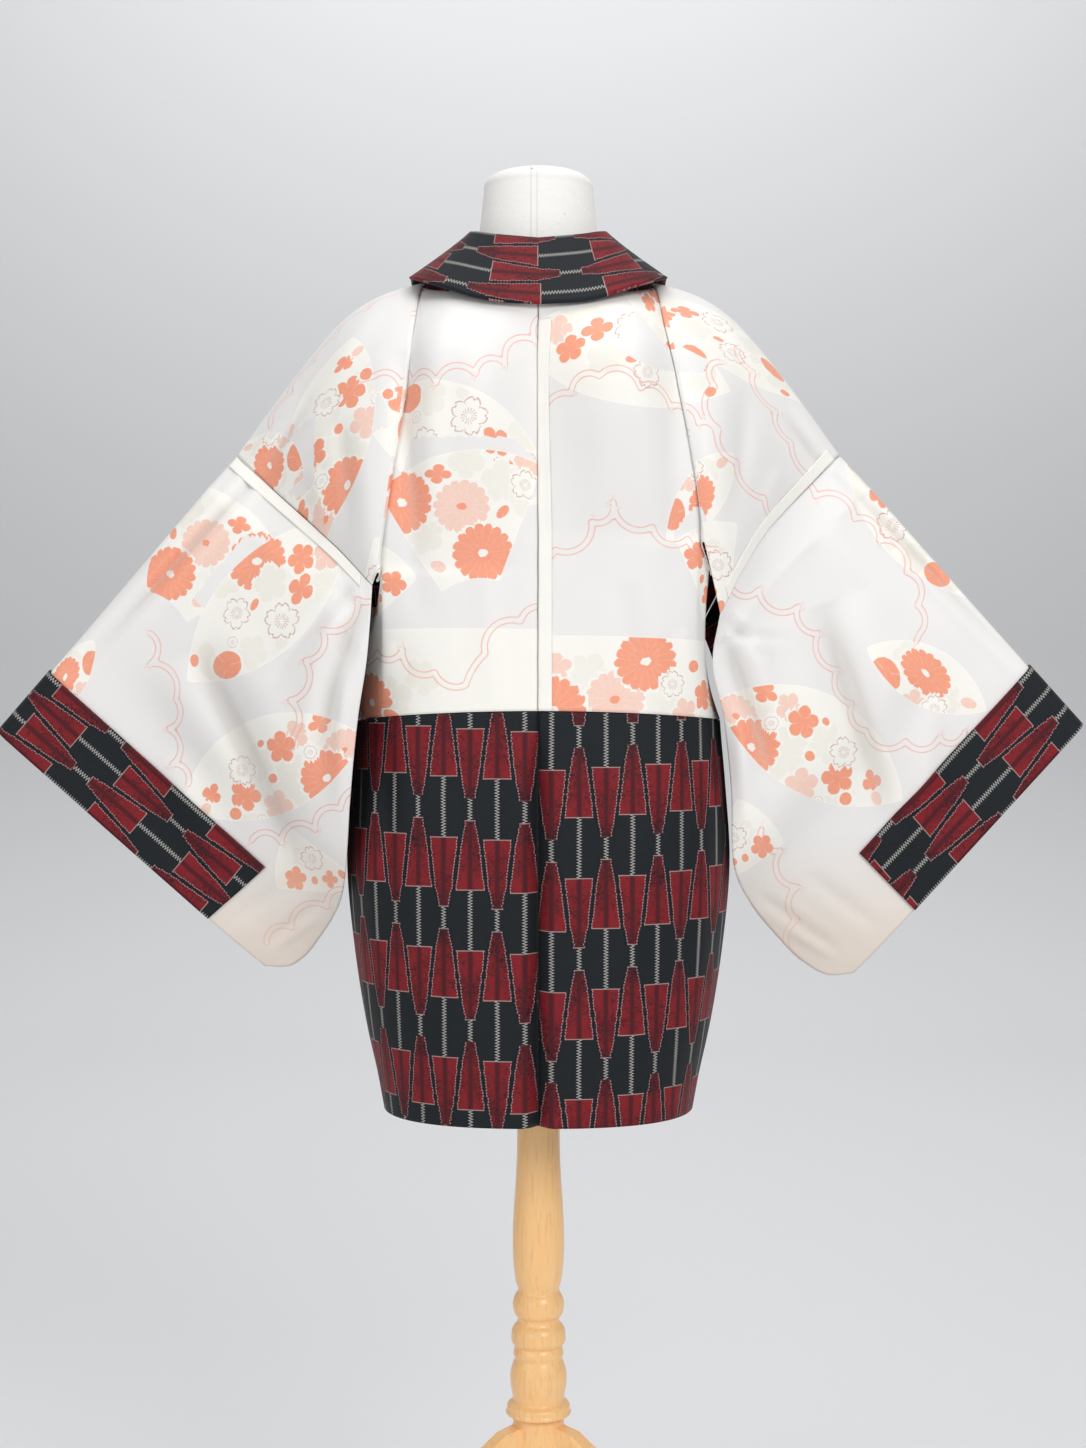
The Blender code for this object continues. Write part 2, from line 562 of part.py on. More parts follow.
def build_garment():
    for side in ("left", "right"):
        panel = body_lining(side)
        cloth_solid("body_lining_" + side, [placed(p, side) for p in panel.values()], WALL, "lining")
        even = np.linspace(0, 1, 13)
        rows = np.linspace(0, 1, 8)
        cloth_solid("back_hem_" + side, [placed(hem_panel(None, 0, even, rows), side)], WALL, "outer")
        cloth_solid("front_hem_" + side, [placed(hem_panel(1, 2, even[::2], rows), side)], WALL, "outer")
        cloth_solid("gusset_" + side, [placed(hem_panel(0, 1, even[::4], rows), side)], WALL, "outer")
        sleeve = sleeve_points(side, *grid(SLEEVE_COLUMNS, SLEEVE_DOWN))
        sleeve = add_column(pull(sleeve, 0, ARM_GAP), STRIP)
        cuff = cuff_points(sleeve)
        cloth_solid("sleeve_" + side, [placed(sleeve, side)], WALL, "lining")
        cloth_solid("cuff_band_" + side, [placed(cuff, side)], WALL, "outer")
        rise = WALL / 2 + CLEAR + STRIP_WALL / 2
        if side == "left":
            host = sleeve[len(SLEEVE_ROWS) + 1:-1, :2]
        else:
            host = panel["shoulder"][len(FRONT_ROWS) + 1:-1, -2:]
        strip = offset_points(host, rise, OUTWARD_BACK)
        cloth_solid("seam_allowance_armhole_" + side, [placed(strip, side)], STRIP_WALL, "lining")
        if side == "right":
            host = np.concatenate((panel["back"][1:-1, :2], panel["lower"][:, :2]))
            strip = offset_points(host, rise, OUTWARD_BACK)
            cloth_solid("seam_allowance_back", [strip], STRIP_WALL, "lining")
    cloth_solid("collar", [collar_points()], COLLAR_WALL, "outer")


# ---- form and stand ----


def oval_rings(table, count):
    rings = []
    for height, wide, behind, before, power in table:
        ring = []
        for k in range(count):
            turn = 2 * math.pi * k / count
            c, s = math.cos(turn), math.sin(turn)
            deep = before if s > 0 else behind
            ring.append(Vector((
                wide * math.copysign(abs(c) ** (2 / power), c), deep * math.copysign(abs(s) ** (2 / power), s),
                height,
            )))
        rings.append(ring)
    return rings


def round_rings(table, count):
    return oval_rings([(height, radius, radius, radius, 2.0) for height, radius in table], count)


def leg_rings(turn):
    rings = []
    edge = 0.0035
    spin = math.radians(turn)
    for reach, top, under in LEG:
        half = LEG_THICK / 2
        section = (
            (-half + edge, top), (0.0, top), (half - edge, top), (half, top - edge), (half, under + edge),
            (half - edge, under), (0.0, under), (-half + edge, under), (-half, under + edge), (-half, top - edge),
        )
        ring = []
        for across, height in section:
            out = reach
            if reach == LEG[0][0]:
                out = math.sqrt(reach**2 - across**2)
            ring.append(Vector((
                out * math.cos(spin) - across * math.sin(spin), out * math.sin(spin) + across * math.cos(spin),
                height,
            )))
        rings.append(ring)
    return rings


def build_form():
    loft_solid("form_torso", oval_rings(TORSO, 48), "form")
    loft_solid("stand_column", round_rings(COLUMN, 40), "wood")
    loft_solid("stand_hub", round_rings(HUB, 40), "wood")
    for name, turn in LEG_TURNS.items():
        loft_solid(name, leg_rings(turn), "wood")


def main():
    for old in list(bpy.data.objects):
        bpy.data.objects.remove(old, do_unlink=True)
    build_garment()
    build_form()


main()
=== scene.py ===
"""Haori shown inside out on a limbless dress form with a turned wooden stand.

Metres, +Z up. The garment's back faces -Y, and the stand's feet stand on Z = 0.
"""

import math

import bmesh
import bpy
import numpy as np
from bpy.props import FloatProperty, FloatVectorProperty, PointerProperty
from bpy.types import Operator, Panel, PropertyGroup
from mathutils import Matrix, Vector


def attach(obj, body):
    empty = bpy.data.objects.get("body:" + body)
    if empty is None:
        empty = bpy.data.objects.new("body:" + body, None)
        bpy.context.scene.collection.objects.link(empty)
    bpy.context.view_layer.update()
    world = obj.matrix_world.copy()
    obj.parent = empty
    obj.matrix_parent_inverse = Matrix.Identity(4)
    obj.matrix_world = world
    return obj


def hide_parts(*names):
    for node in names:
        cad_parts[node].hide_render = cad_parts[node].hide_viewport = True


bl_info = {
    "name": "Haori on a dress form",
    "version": (1, 0, 0),
    "blender": (4, 5, 0),
    "location": "3D View > Sidebar > Haori",
    "description": "Sews an inside-out haori and stands it on a canvas form with a turned beech stand",
    "category": "Add Mesh",
}

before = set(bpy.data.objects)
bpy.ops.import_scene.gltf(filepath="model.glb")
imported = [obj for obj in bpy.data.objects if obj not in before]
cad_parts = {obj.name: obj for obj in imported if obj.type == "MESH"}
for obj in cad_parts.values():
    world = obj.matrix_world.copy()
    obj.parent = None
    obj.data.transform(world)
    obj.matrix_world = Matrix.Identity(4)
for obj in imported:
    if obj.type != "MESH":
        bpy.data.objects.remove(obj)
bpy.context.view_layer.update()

# ---- the cut ----

CENTRE = 0.0715  # the form's axis lies this far behind the middle of the feet
SEAM_GAP = 0.0004
ARM_GAP = 0.0006
WELD = 0.00005  # edge points of one piece nearer than this are sewn together
LAYER = 0.0036  # between the layers of the pleat behind the arm
PLEAT_ROUND = 0.0034  # how far the pleat's rounded edges stand out
BACK_SWELL, FRONT_SWELL = 0.016, 0.020  # how far the shoulder cloth bulges behind and in front
HEM_SEAM = 0.990
SEAM_LIFT = 0.0075  # the hem seam is this much higher at the centre back
HEM = 0.628
FURROW, FURROW_DEPTH = 0.0075, 0.013  # along the centre back of the hem
GRAIN, GRAIN_START = 1.04, 0.008  # width along the cloth over the shoulder, for each metre across the body
FRONT_CUT = 2.950  # the fronts hang the other way up: length along the cloth plus height
STRIP, STRIP_WALL = 0.012, 0.0009
STRIP_RISE, STRIP_WAVE = 0.0014, 0.0002  # how far a strip stands off its panel, and how unevenly
CUFF, CUFF_CLEAR = 0.075, 0.0025
# From the top edge down to the end of the band, at its outer and at its inner edge
CUFF_LENGTH = {"left": (0.2735, 0.2840), "right": (0.2425, 0.2465)}
# Where each piece of outer cloth starts in the repeat of its figures
CUFF_FIGURES = {"left": 0.03, "right": 0.11}
HEM_FIGURES = {"left": 0.0, "right": 0.034}

# Shoulder line, neck point to armhole: share, x, y, z
SHOULDER = (
    (0.0, 0.112, 0.0, 1.4035), (0.1, 0.134, 0.0, 1.3975), (0.22, 0.157, 0.0, 1.388),
    (0.36, 0.184, 0.0, 1.369), (0.5, 0.208, 0.0, 1.343), (0.65, 0.233, 0.0, 1.312),
    (0.82, 0.26, 0.0, 1.276), (1.0, 0.286, 0.0, 1.24),
)
# Inner edge of the shoulder cloth, front (-1) over the neck point (0) to the pleat's foot (1)
FRONT_EDGE = (
    (-1.0, 0.092, 0.139, 1.12), (-0.75, 0.094, 0.136, 1.22), (-0.5, 0.098, 0.125, 1.3),
    (-0.25, 0.106, 0.09, 1.364),
)
PLEAT_EDGE = {
    "right": FRONT_EDGE + (
        (0.0, 0.112, 0.0, 1.4035), (0.25, 0.118, -0.104, 1.344), (0.5, 0.128, -0.127, 1.285),
        (0.75, 0.138, -0.131, 1.22), (1.0, 0.1485, -0.125, 1.145),
    ),
    "left": FRONT_EDGE + (
        (0.0, 0.112, 0.0, 1.4035), (0.25, 0.1155, -0.104, 1.345), (0.5, 0.121, -0.129, 1.278),
        (0.75, 0.1325, -0.134, 1.198), (1.0, 0.144, -0.131, 1.118),
    ),
}
# Armhole seam, front end (-1) over the shoulder (0) to its back end (1): share, x, y, z
ARMHOLE = {
    "right": (
        (-1.0, 0.163, 0.116, 1.085), (-0.6, 0.198, 0.082, 1.148), (-0.25, 0.247, 0.037, 1.203),
        (-0.08, 0.279, 0.014, 1.235), (0.0, 0.286, 0.0, 1.24), (0.08, 0.279, -0.014, 1.235),
        (0.25, 0.247, -0.037, 1.203), (0.5, 0.2115, -0.068, 1.166), (0.75, 0.184, -0.098, 1.126),
        (1.0, 0.1635, -0.108, 1.085),
    ),
    "left": (
        (-1.0, 0.163, 0.116, 1.085), (-0.6, 0.198, 0.082, 1.148), (-0.25, 0.25, 0.034, 1.205),
        (-0.08, 0.279, 0.014, 1.233), (0.0, 0.286, 0.0, 1.24), (0.08, 0.279, -0.014, 1.233),
        (0.25, 0.2545, -0.033, 1.211), (0.5, 0.2185, -0.065, 1.179), (0.75, 0.182, -0.097, 1.146),
        (1.0, 0.1475, -0.124, 1.11),
    ),
}
# Hidden fold of the pleat: share of the armhole, width as a share of the shoulder cloth
PLEAT_WIDTH = {
    "right": ((0.0, 0.05), (0.25, 0.20), (0.5, 0.36), (0.75, 0.48), (1.0, 0.40)),
    "left": ((0.0, 0.05), (0.25, 0.20), (0.5, 0.34), (0.75, 0.56), (1.0, 0.50)),
}
# Share of the armhole, distance between the pleat's layers as a share of LAYER
PLEAT_LAYER = ((0.0, 0.40), (0.25, 0.75), (1.0, 1.0))
# Centre back from hem to neckline: height, y
CENTRE_BACK = (
    (HEM, -0.128), (0.75, -0.134), (0.86, -0.137), (HEM_SEAM, -0.133), (1.1, -0.129), (1.2, -0.127),
    (1.3, -0.122), (1.372, -0.113), (1.4, -0.105),
)
# Body below the armholes, one half: height, half width, depth behind, depth in front, roundness
BODY = (
    (HEM, 0.145, 0.13, 0.146, 2.5), (0.66, 0.151, 0.132, 0.147, 2.5), (0.7, 0.16, 0.135, 0.148, 2.5),
    (0.78, 0.173, 0.138, 0.149, 2.5), (0.86, 0.1795, 0.14, 0.149, 2.6), (0.93, 0.175, 0.139, 0.147, 2.8),
    (HEM_SEAM, 0.17, 0.134, 0.144, 2.9), (1.06, 0.168, 0.132, 0.142, 3.0),
)
# Where the body's seams lie on the half ring: height, back edge, front edge, collar seam
RING_SEAMS = ((HEM, 0.520, 0.610, 0.800), (HEM_SEAM, 0.545, 0.565, 0.815))
# Neckline at the back, centre to neck point: share, x, y, z
NECKLINE = (
    (0.0, 0.0, -0.1125, 1.365), (0.35, 0.045, -0.1045, 1.369), (0.65, 0.082, -0.077, 1.38),
    (0.85, 0.101, -0.038, 1.39),
)
# Free side edge of the back lining at the foot of the armhole, from the pleat forwards: x, y
SIDE_TOP = {
    "right": ((0.15, -0.078), (0.147, -0.048), (0.146, -0.018)),
    "left": ((0.153, -0.082), (0.155, -0.048), (0.153, -0.018)),
}
SIDE_DROP = 0.022  # that edge starts this far below the pleat's foot
SIDE_PINCH = {"right": 0.010, "left": -0.006}
# Sleeve, one loom width folded along its top edge, then its foot behind and in front: share, x, y, z
WRIST_TOP = {"right": (0.5145, 0.0, 0.9850), "left": (0.5110, 0.0, 0.9790)}
SLEEVE_FOOT = {
    "right": (
        (0.0, 0.1635, -0.108, 1.085), (0.1, 0.1575, -0.092, 1.045), (0.26, 0.169, -0.08, 0.99),
        (0.42, 0.1765, -0.074, 0.92), (0.54, 0.179, -0.064, 0.86), (0.66, 0.196, -0.03, 0.822),
        (0.78, 0.226, -0.01, 0.785), (0.88, 0.252, -0.0016, 0.76), (0.95, 0.276, -0.0013, 0.748),
        (1.0, 0.299, -0.0013, 0.75),
    ),
    "left": (
        (0.0, 0.1475, -0.124, 1.11), (0.12, 0.1505, -0.133, 1.05), (0.27, 0.1595, -0.133, 0.99),
        (0.42, 0.1675, -0.118, 0.92), (0.54, 0.1745, -0.086, 0.857), (0.66, 0.1855, -0.038, 0.818),
        (0.78, 0.206, -0.012, 0.785), (0.88, 0.224, -0.0016, 0.764), (0.95, 0.24, -0.0013, 0.756),
        (1.0, 0.26, -0.0013, 0.757),
    ),
}
FOOT_SEAM = 0.66  # from this share on, the sleeve's foot is sewn shut
SLEEVE_FRONT = (
    (0.0, 0.163, 0.116, 1.085), (0.12, 0.18, 0.127, 1.04), (0.27, 0.1915, 0.126, 0.985),
    (0.42, 0.1975, 0.11, 0.92), (0.54, 0.1985, 0.08, 0.86),
)
TOP_ROUND = 0.013  # radius of the sleeve's top edge
TOP_FLAT = 0.12  # share of the sleeve over which that radius grows
# Collar, centre back to front hem: share, inner x y z, outer x y z
COLLAR = (
    (0.0, 0.0, -0.077, 1.429, 0.0, -0.1235, 1.36), (0.04, 0.036, -0.073, 1.433, 0.045, -0.12, 1.364),
    (0.08, 0.058, -0.055, 1.44, 0.088, -0.101, 1.38), (0.12, 0.064, -0.026, 1.445, 0.1165, -0.057, 1.3965),
    (0.16, 0.062, 0.01, 1.443, 0.1205, 0.0, 1.4058), (0.21, 0.056, 0.058, 1.42, 0.12, 0.068, 1.39),
    (0.28, 0.049, 0.11, 1.36, 0.113, 0.121, 1.344), (0.4, 0.045, 0.14, 1.25, 0.106, 0.145, 1.245),
    (0.6, 0.045, 0.146, 1.06, 0.105, 0.146, 1.06), (0.8, 0.047, 0.149, 0.85, 0.107, 0.145, 0.85),
    (1.0, 0.046, 0.148, HEM, 0.101, 0.137, HEM),
)
# Dress form: height, half width, depth behind, depth in front, roundness
TORSO = (
    (0.7, 0.125, 0.082, 0.08, 2.2), (0.715, 0.138, 0.092, 0.09, 2.2), (0.76, 0.144, 0.098, 0.095, 2.2),
    (0.86, 0.148, 0.1, 0.1, 2.2), (0.96, 0.134, 0.088, 0.092, 2.2), (1.04, 0.121, 0.08, 0.086, 2.2),
    (1.12, 0.128, 0.088, 0.1, 2.3), (1.2, 0.14, 0.098, 0.116, 2.4), (1.26, 0.149, 0.102, 0.112, 2.5),
    (1.31, 0.156, 0.097, 0.096, 2.6), (1.345, 0.153, 0.086, 0.078, 2.6), (1.365, 0.138, 0.077, 0.067, 2.5),
    (1.378, 0.118, 0.07, 0.062, 2.3), (1.39, 0.094, 0.064, 0.059, 2.1), (1.402, 0.075, 0.06, 0.057, 2.0),
    (1.42, 0.063, 0.058, 0.056, 2.0), (1.44, 0.058, 0.0565, 0.055, 2.0),
    (1.465, 0.0545, 0.0545, 0.0535, 2.0), (1.49, 0.052, 0.052, 0.0515, 2.0),
    (1.498, 0.0508, 0.0508, 0.0503, 2.0), (1.5025, 0.047, 0.047, 0.0465, 2.0),
    (1.5058, 0.04, 0.04, 0.0395, 2.0), (1.5078, 0.029, 0.029, 0.0287, 2.0),
    (1.5086, 0.015, 0.015, 0.0148, 2.0),
)
# Turned column from the form down to the hub: height, radius
COLUMN = (
    (0.6985, 0.021), (0.63, 0.0205), (0.585, 0.0203), (0.555, 0.0215), (0.525, 0.0235), (0.498, 0.0245),
    (0.475, 0.0238), (0.457, 0.0215), (0.448, 0.0198), (0.4455, 0.0215), (0.44, 0.0238), (0.432, 0.024),
    (0.426, 0.0222), (0.4235, 0.02), (0.4185, 0.0205), (0.415, 0.0235), (0.406, 0.0258), (0.399, 0.0246),
    (0.3962, 0.0222), (0.3935, 0.023), (0.3885, 0.0238), (0.385, 0.0226), (0.382, 0.0236), (0.37, 0.0268),
    (0.358, 0.0262), (0.348, 0.0246), (0.344, 0.025), (0.342, 0.0285), (0.337, 0.0298), (0.332, 0.0296),
    (0.3303, 0.025),
)
HUB = ((0.33, 0.023), (0.325, 0.024), (0.24, 0.024), (0.234, 0.0225), (0.23, 0.018), (0.2285, 0.008))

# ---- settings a user may change ----


def colour(name, words, value):
    return FloatVectorProperty(
        name=name, description=words, subtype="COLOR", size=3, min=0, max=1, default=value
    )


def length(name, words, value):
    return FloatProperty(name=name, description=words, unit="LENGTH", subtype="DISTANCE", default=value)


class LiningSettings(PropertyGroup):
    """The printed silk that lines the body and the sleeves."""

    wall: length("Wall", "Thickness of lining and outer cloth together", 0.0012)
    silver: colour("Silver ground", "Satin between the printed fans", (0.822, 0.810, 0.790))
    cream: colour("Cream ground", "Ground inside the fans and leaves", (0.905, 0.885, 0.825))
    coral: colour("Coral", "Chrysanthemums and small blossoms", (0.900, 0.345, 0.215))
    pale: colour("Pale coral", "Flowers printed in the lighter tone", (0.900, 0.620, 0.520))
    beige: colour("Beige", "Faint leaves", (0.780, 0.740, 0.640))
    # the lining's colour is drawn in this tone below WARM_BELOW, warmer and darker towards the sleeves' feet
    warm: colour("Warm shade", "Thin silk near the sleeves' feet", (0.700, 0.560, 0.440))
    # painted shade: this colour is laid into the lining at the bottom of the folds' troughs
    shade: colour("Fold shade", "Bottom of the pressed folds", (0.480, 0.440, 0.400))
    line: colour("Cloud line", "The thin scalloped lines", (0.870, 0.400, 0.330))
    thread: colour("Drawn line", "Outlined blossoms and their stamens", (0.560, 0.300, 0.270))


class OuterSettings(PropertyGroup):
    """The dark figured silk of hem, cuffs, collar and the hidden side."""

    wall: length("Wall", "Thickness of hem and cuff cloth", 0.0012)
    collar_wall: length("Collar wall", "Thickness of the folded collar band", 0.0024)
    pitch: length("Column pitch", "Distance between two columns of figures", 0.0240)
    ground: colour("Charcoal", "Ground of the weave", (0.0125, 0.0155, 0.0185))
    red: colour("Deep red", "Figures", (0.215, 0.015, 0.020))
    dark: colour("Maroon black", "Shade inside the figures", (0.022, 0.010, 0.014))
    edge: colour("Pale edge", "Dotted outline of the figures", (0.420, 0.310, 0.290))
    thread: colour("Grey thread", "Zigzag lines between the figures", (0.430, 0.420, 0.390))


class StandSettings(PropertyGroup):
    """The form's canvas and the stand's wood."""

    canvas: colour("Canvas", "Cover of the form", (0.880, 0.865, 0.835))
    wood: colour("Beech", "Light tone of the wood", (1.000, 0.660, 0.310))
    grain: colour("Beech grain", "Dark tone of the wood", (0.950, 0.510, 0.190))


class StageSettings(PropertyGroup):
    """Plain studio round the object."""

    backdrop: colour("Backdrop", "Floor and wall", (0.600, 0.602, 0.612))


class HaoriSettings(PropertyGroup):
    """All settings of the garment, its form and the studio."""

    lining: PointerProperty(type=LiningSettings)
    outer: PointerProperty(type=OuterSettings)
    stand: PointerProperty(type=StandSettings)
    stage: PointerProperty(type=StageSettings)


# ---- curves and surfaces ----


def spline(table, share):
    """Smooth curve through a table whose first column is the parameter."""
    rows = np.asarray(table, float)
    knots, values = rows[:, 0], rows[:, 1:]
    share = np.clip(np.asarray(share, float), knots[0], knots[-1])
    step = np.diff(knots)[:, None]
    secant = np.diff(values, axis=0) / step
    slope = np.empty_like(values)
    slope[0], slope[-1] = secant[0], secant[-1]
    before, after = step[:-1], step[1:]
    slope[1:-1] = (secant[:-1] * after + secant[1:] * before) / (before + after)
    cell = np.clip(np.searchsorted(knots, share, side="right") - 1, 0, len(knots) - 2)
    run = step[cell, 0]
    s = (share - knots[cell]) / run
    s, run = s[..., None], run[..., None]
    return (
        values[cell] * (2 * s**3 - 3 * s**2 + 1) + slope[cell] * run * (s**3 - 2 * s**2 + s)
        + values[cell + 1] * (3 * s**2 - 2 * s**3) + slope[cell + 1] * run * (s**3 - s**2)
    )


def ease(share):
    return share * share * (3 - 2 * share)


def span(across, down, left, right, top, foot):
    """Surface between four edge curves; it leaves the top edge square to it."""
    a, d = across[..., None], ease(down)[..., None]
    zero, one = np.zeros_like(across), np.ones_like(across)
    corners = (
        (1 - a) * (1 - d) * top(zero) + a * (1 - d) * top(one) + (1 - a) * d * foot(zero) + a * d * foot(one)
    )
    return (1 - a) * left(down) + a * right(down) + (1 - d) * top(across) + d * foot(across) - corners


def runs(points, axis):
    """Distance along the rows (1) or columns (0) of a grid of points."""
    step = np.linalg.norm(np.diff(points, axis=axis), axis=-1)
    pad = [(0, 0), (0, 0)]
    pad[axis] = (1, 0)
    return np.cumsum(np.pad(step, pad), axis=axis)


def chain_run(points):
    """Distance along a chain of points, from 0 at its first."""
    return np.concatenate(([0.0], np.cumsum(np.linalg.norm(np.diff(points, axis=0), axis=1))))


def unit(vectors):
    return vectors / np.maximum(np.linalg.norm(vectors, axis=-1, keepdims=True), 1e-9)


def surface_normals(points):
    return unit(np.cross(np.gradient(points, axis=1), np.gradient(points, axis=0)))


def row_walk(points, distance, start=0):
    """Point on each row of a grid at a distance from the row's first (0) or last (-1) column."""
    rows = points if start == 0 else points[:, ::-1]
    out = np.empty((rows.shape[0], rows.shape[2]))
    for i, row in enumerate(rows):
        run = chain_run(row[:, :3])
        out[i] = [np.interp(distance, run, row[:, k]) for k in range(rows.shape[2])]
    return out


def pull(points, edge, distance=SEAM_GAP):
    """Draw the first (0) or last (-1) column of a grid inwards, to leave a gap at a seam."""
    points = points.copy()
    points[:, edge] += unit(points[:, 1 if edge == 0 else -2] - points[:, edge]) * distance
    return points


def shoulder_cloth(side, across, down):
    """Cloth from the neck and pleat edge (0) to the armhole seam (1); down is -1 front, 1 back."""

    def half(sign, share, swell):
        start, end = spline(PLEAT_EDGE[side], sign), spline(ARMHOLE[side], sign)
        points = span(
            across, share, lambda d: spline(PLEAT_EDGE[side], sign * d),
            lambda d: spline(ARMHOLE[side], sign * d), lambda a: spline(SHOULDER, a),
            lambda a: start + (end - start) * a[..., None],
        )
        points[..., 1] -= sign * swell * 16 * across * (1 - across) * share * (1 - share)
        return points

    behind = half(1.0, np.maximum(down, 0.0), BACK_SWELL)
    before = half(-1.0, np.maximum(-down, 0.0), FRONT_SWELL)
    return np.where((down >= 0)[..., None], behind, before)


def body_ring(heights, shares):
    """Rows of the half body, one for each height; shares run from centre back (0) to centre front (1)."""
    fine = np.linspace(0.0, math.pi, 361)
    rows = []
    for height, share in zip(heights, shares):
        wide, behind, before, power = spline(BODY, height)
        x = wide * np.abs(np.sin(fine)) ** (2 / power)
        y = np.where(fine < math.pi / 2, -behind, before) * np.abs(np.cos(fine)) ** (2 / power)
        run = chain_run(np.column_stack((x, y)))
        at = np.interp(share * run[-1], run, fine)
        x, y = np.interp(at, fine, x), np.interp(at, fine, y)
        rows.append(np.stack((x, y, np.full_like(at, height)), -1))
    return np.array(rows)


def pleat_layers(side, down):
    """The hidden fold, from the shoulder cloth's edge inwards, as a grid with one row for each down."""
    width = spline(PLEAT_WIDTH[side], down)[:, 0]
    layer = LAYER * spline(PLEAT_LAYER, down)[:, 0]

    def column(share, depth, shift=0.0):
        nudge = 0.02
        at = shoulder_cloth(side, share, down)
        along = unit(shoulder_cloth(side, share + nudge, down) - at)
        ahead, behind = np.clip(down + nudge, 0.0, 1.0), np.clip(down - nudge, 0.0, 1.0)
        fall = unit(shoulder_cloth(side, share, ahead) - shoulder_cloth(side, share, behind))
        inward = unit(np.cross(along, fall))
        inward *= np.sign(np.sum(inward * np.array([0.0, 1.0, -0.3]), axis=-1, keepdims=True))
        return at + inward * (layer * depth)[:, None] + along * shift

    none = np.zeros_like(down)
    turn = np.linspace(0, math.pi, 7)
    flat = np.linspace(0, 1, 10)[1:-1]
    out = [column(none, 0.5 - 0.5 * math.cos(a), -PLEAT_ROUND * math.sin(a)) for a in turn]
    out += [column(width * share, 1.0) for share in flat]
    out += [column(width, 1.5 - 0.5 * math.cos(a), PLEAT_ROUND * math.sin(a)) for a in turn]
    out += [column(width * share, 2.0) for share in flat[::-1]]
    out.append(column(none, 2.0))
    return np.stack(out, axis=1)


def back_panel(side, across, down, hidden_edge):
    """Back of the lining from the centre seam (0) to under the pleat's edge (1)."""
    rows = down[:, 0]
    foot_height = PLEAT_EDGE[side][-1][3]

    def centre(share):
        height = NECKLINE[0][3] + (foot_height - NECKLINE[0][3]) * share
        return np.stack((np.zeros_like(share), spline(CENTRE_BACK, height)[..., 0], height), -1)

    def hidden(share):
        return np.stack([np.interp(share, rows, hidden_edge[:, k]) for k in range(3)], -1)

    def neckline(share):
        return spline(NECKLINE + ((1.0, *hidden_edge[0]),), share)

    def foot(share):
        start, end = centre(np.ones(1))[0], hidden_edge[-1]
        points = start + (end - start) * share[..., None]
        points[..., 1] = start[1] + (end[1] - start[1]) * share**3 - 0.006 * np.sin(math.pi * share)
        return points

    points = span(across, down, centre, hidden, neckline, foot)
    points[..., 1] -= 0.010 * np.sin(math.pi * across) * np.sin(math.pi * down)
    return points


def lift_seam(points):
    """Raise the hem seam a little towards the centre back."""
    middle = np.clip(1 - (points[..., 0] / 0.17) ** 2, 0, 1) * (points[..., 1] < 0)
    points[..., 2] += SEAM_LIFT * middle * np.exp(-(((points[..., 2] - HEM_SEAM) / 0.06) ** 2))


def with_map(points, u, v):
    """A grid of points with the cloth's own flat coordinates beside them."""
    return np.concatenate((points, u[..., None], v[..., None]), axis=-1)


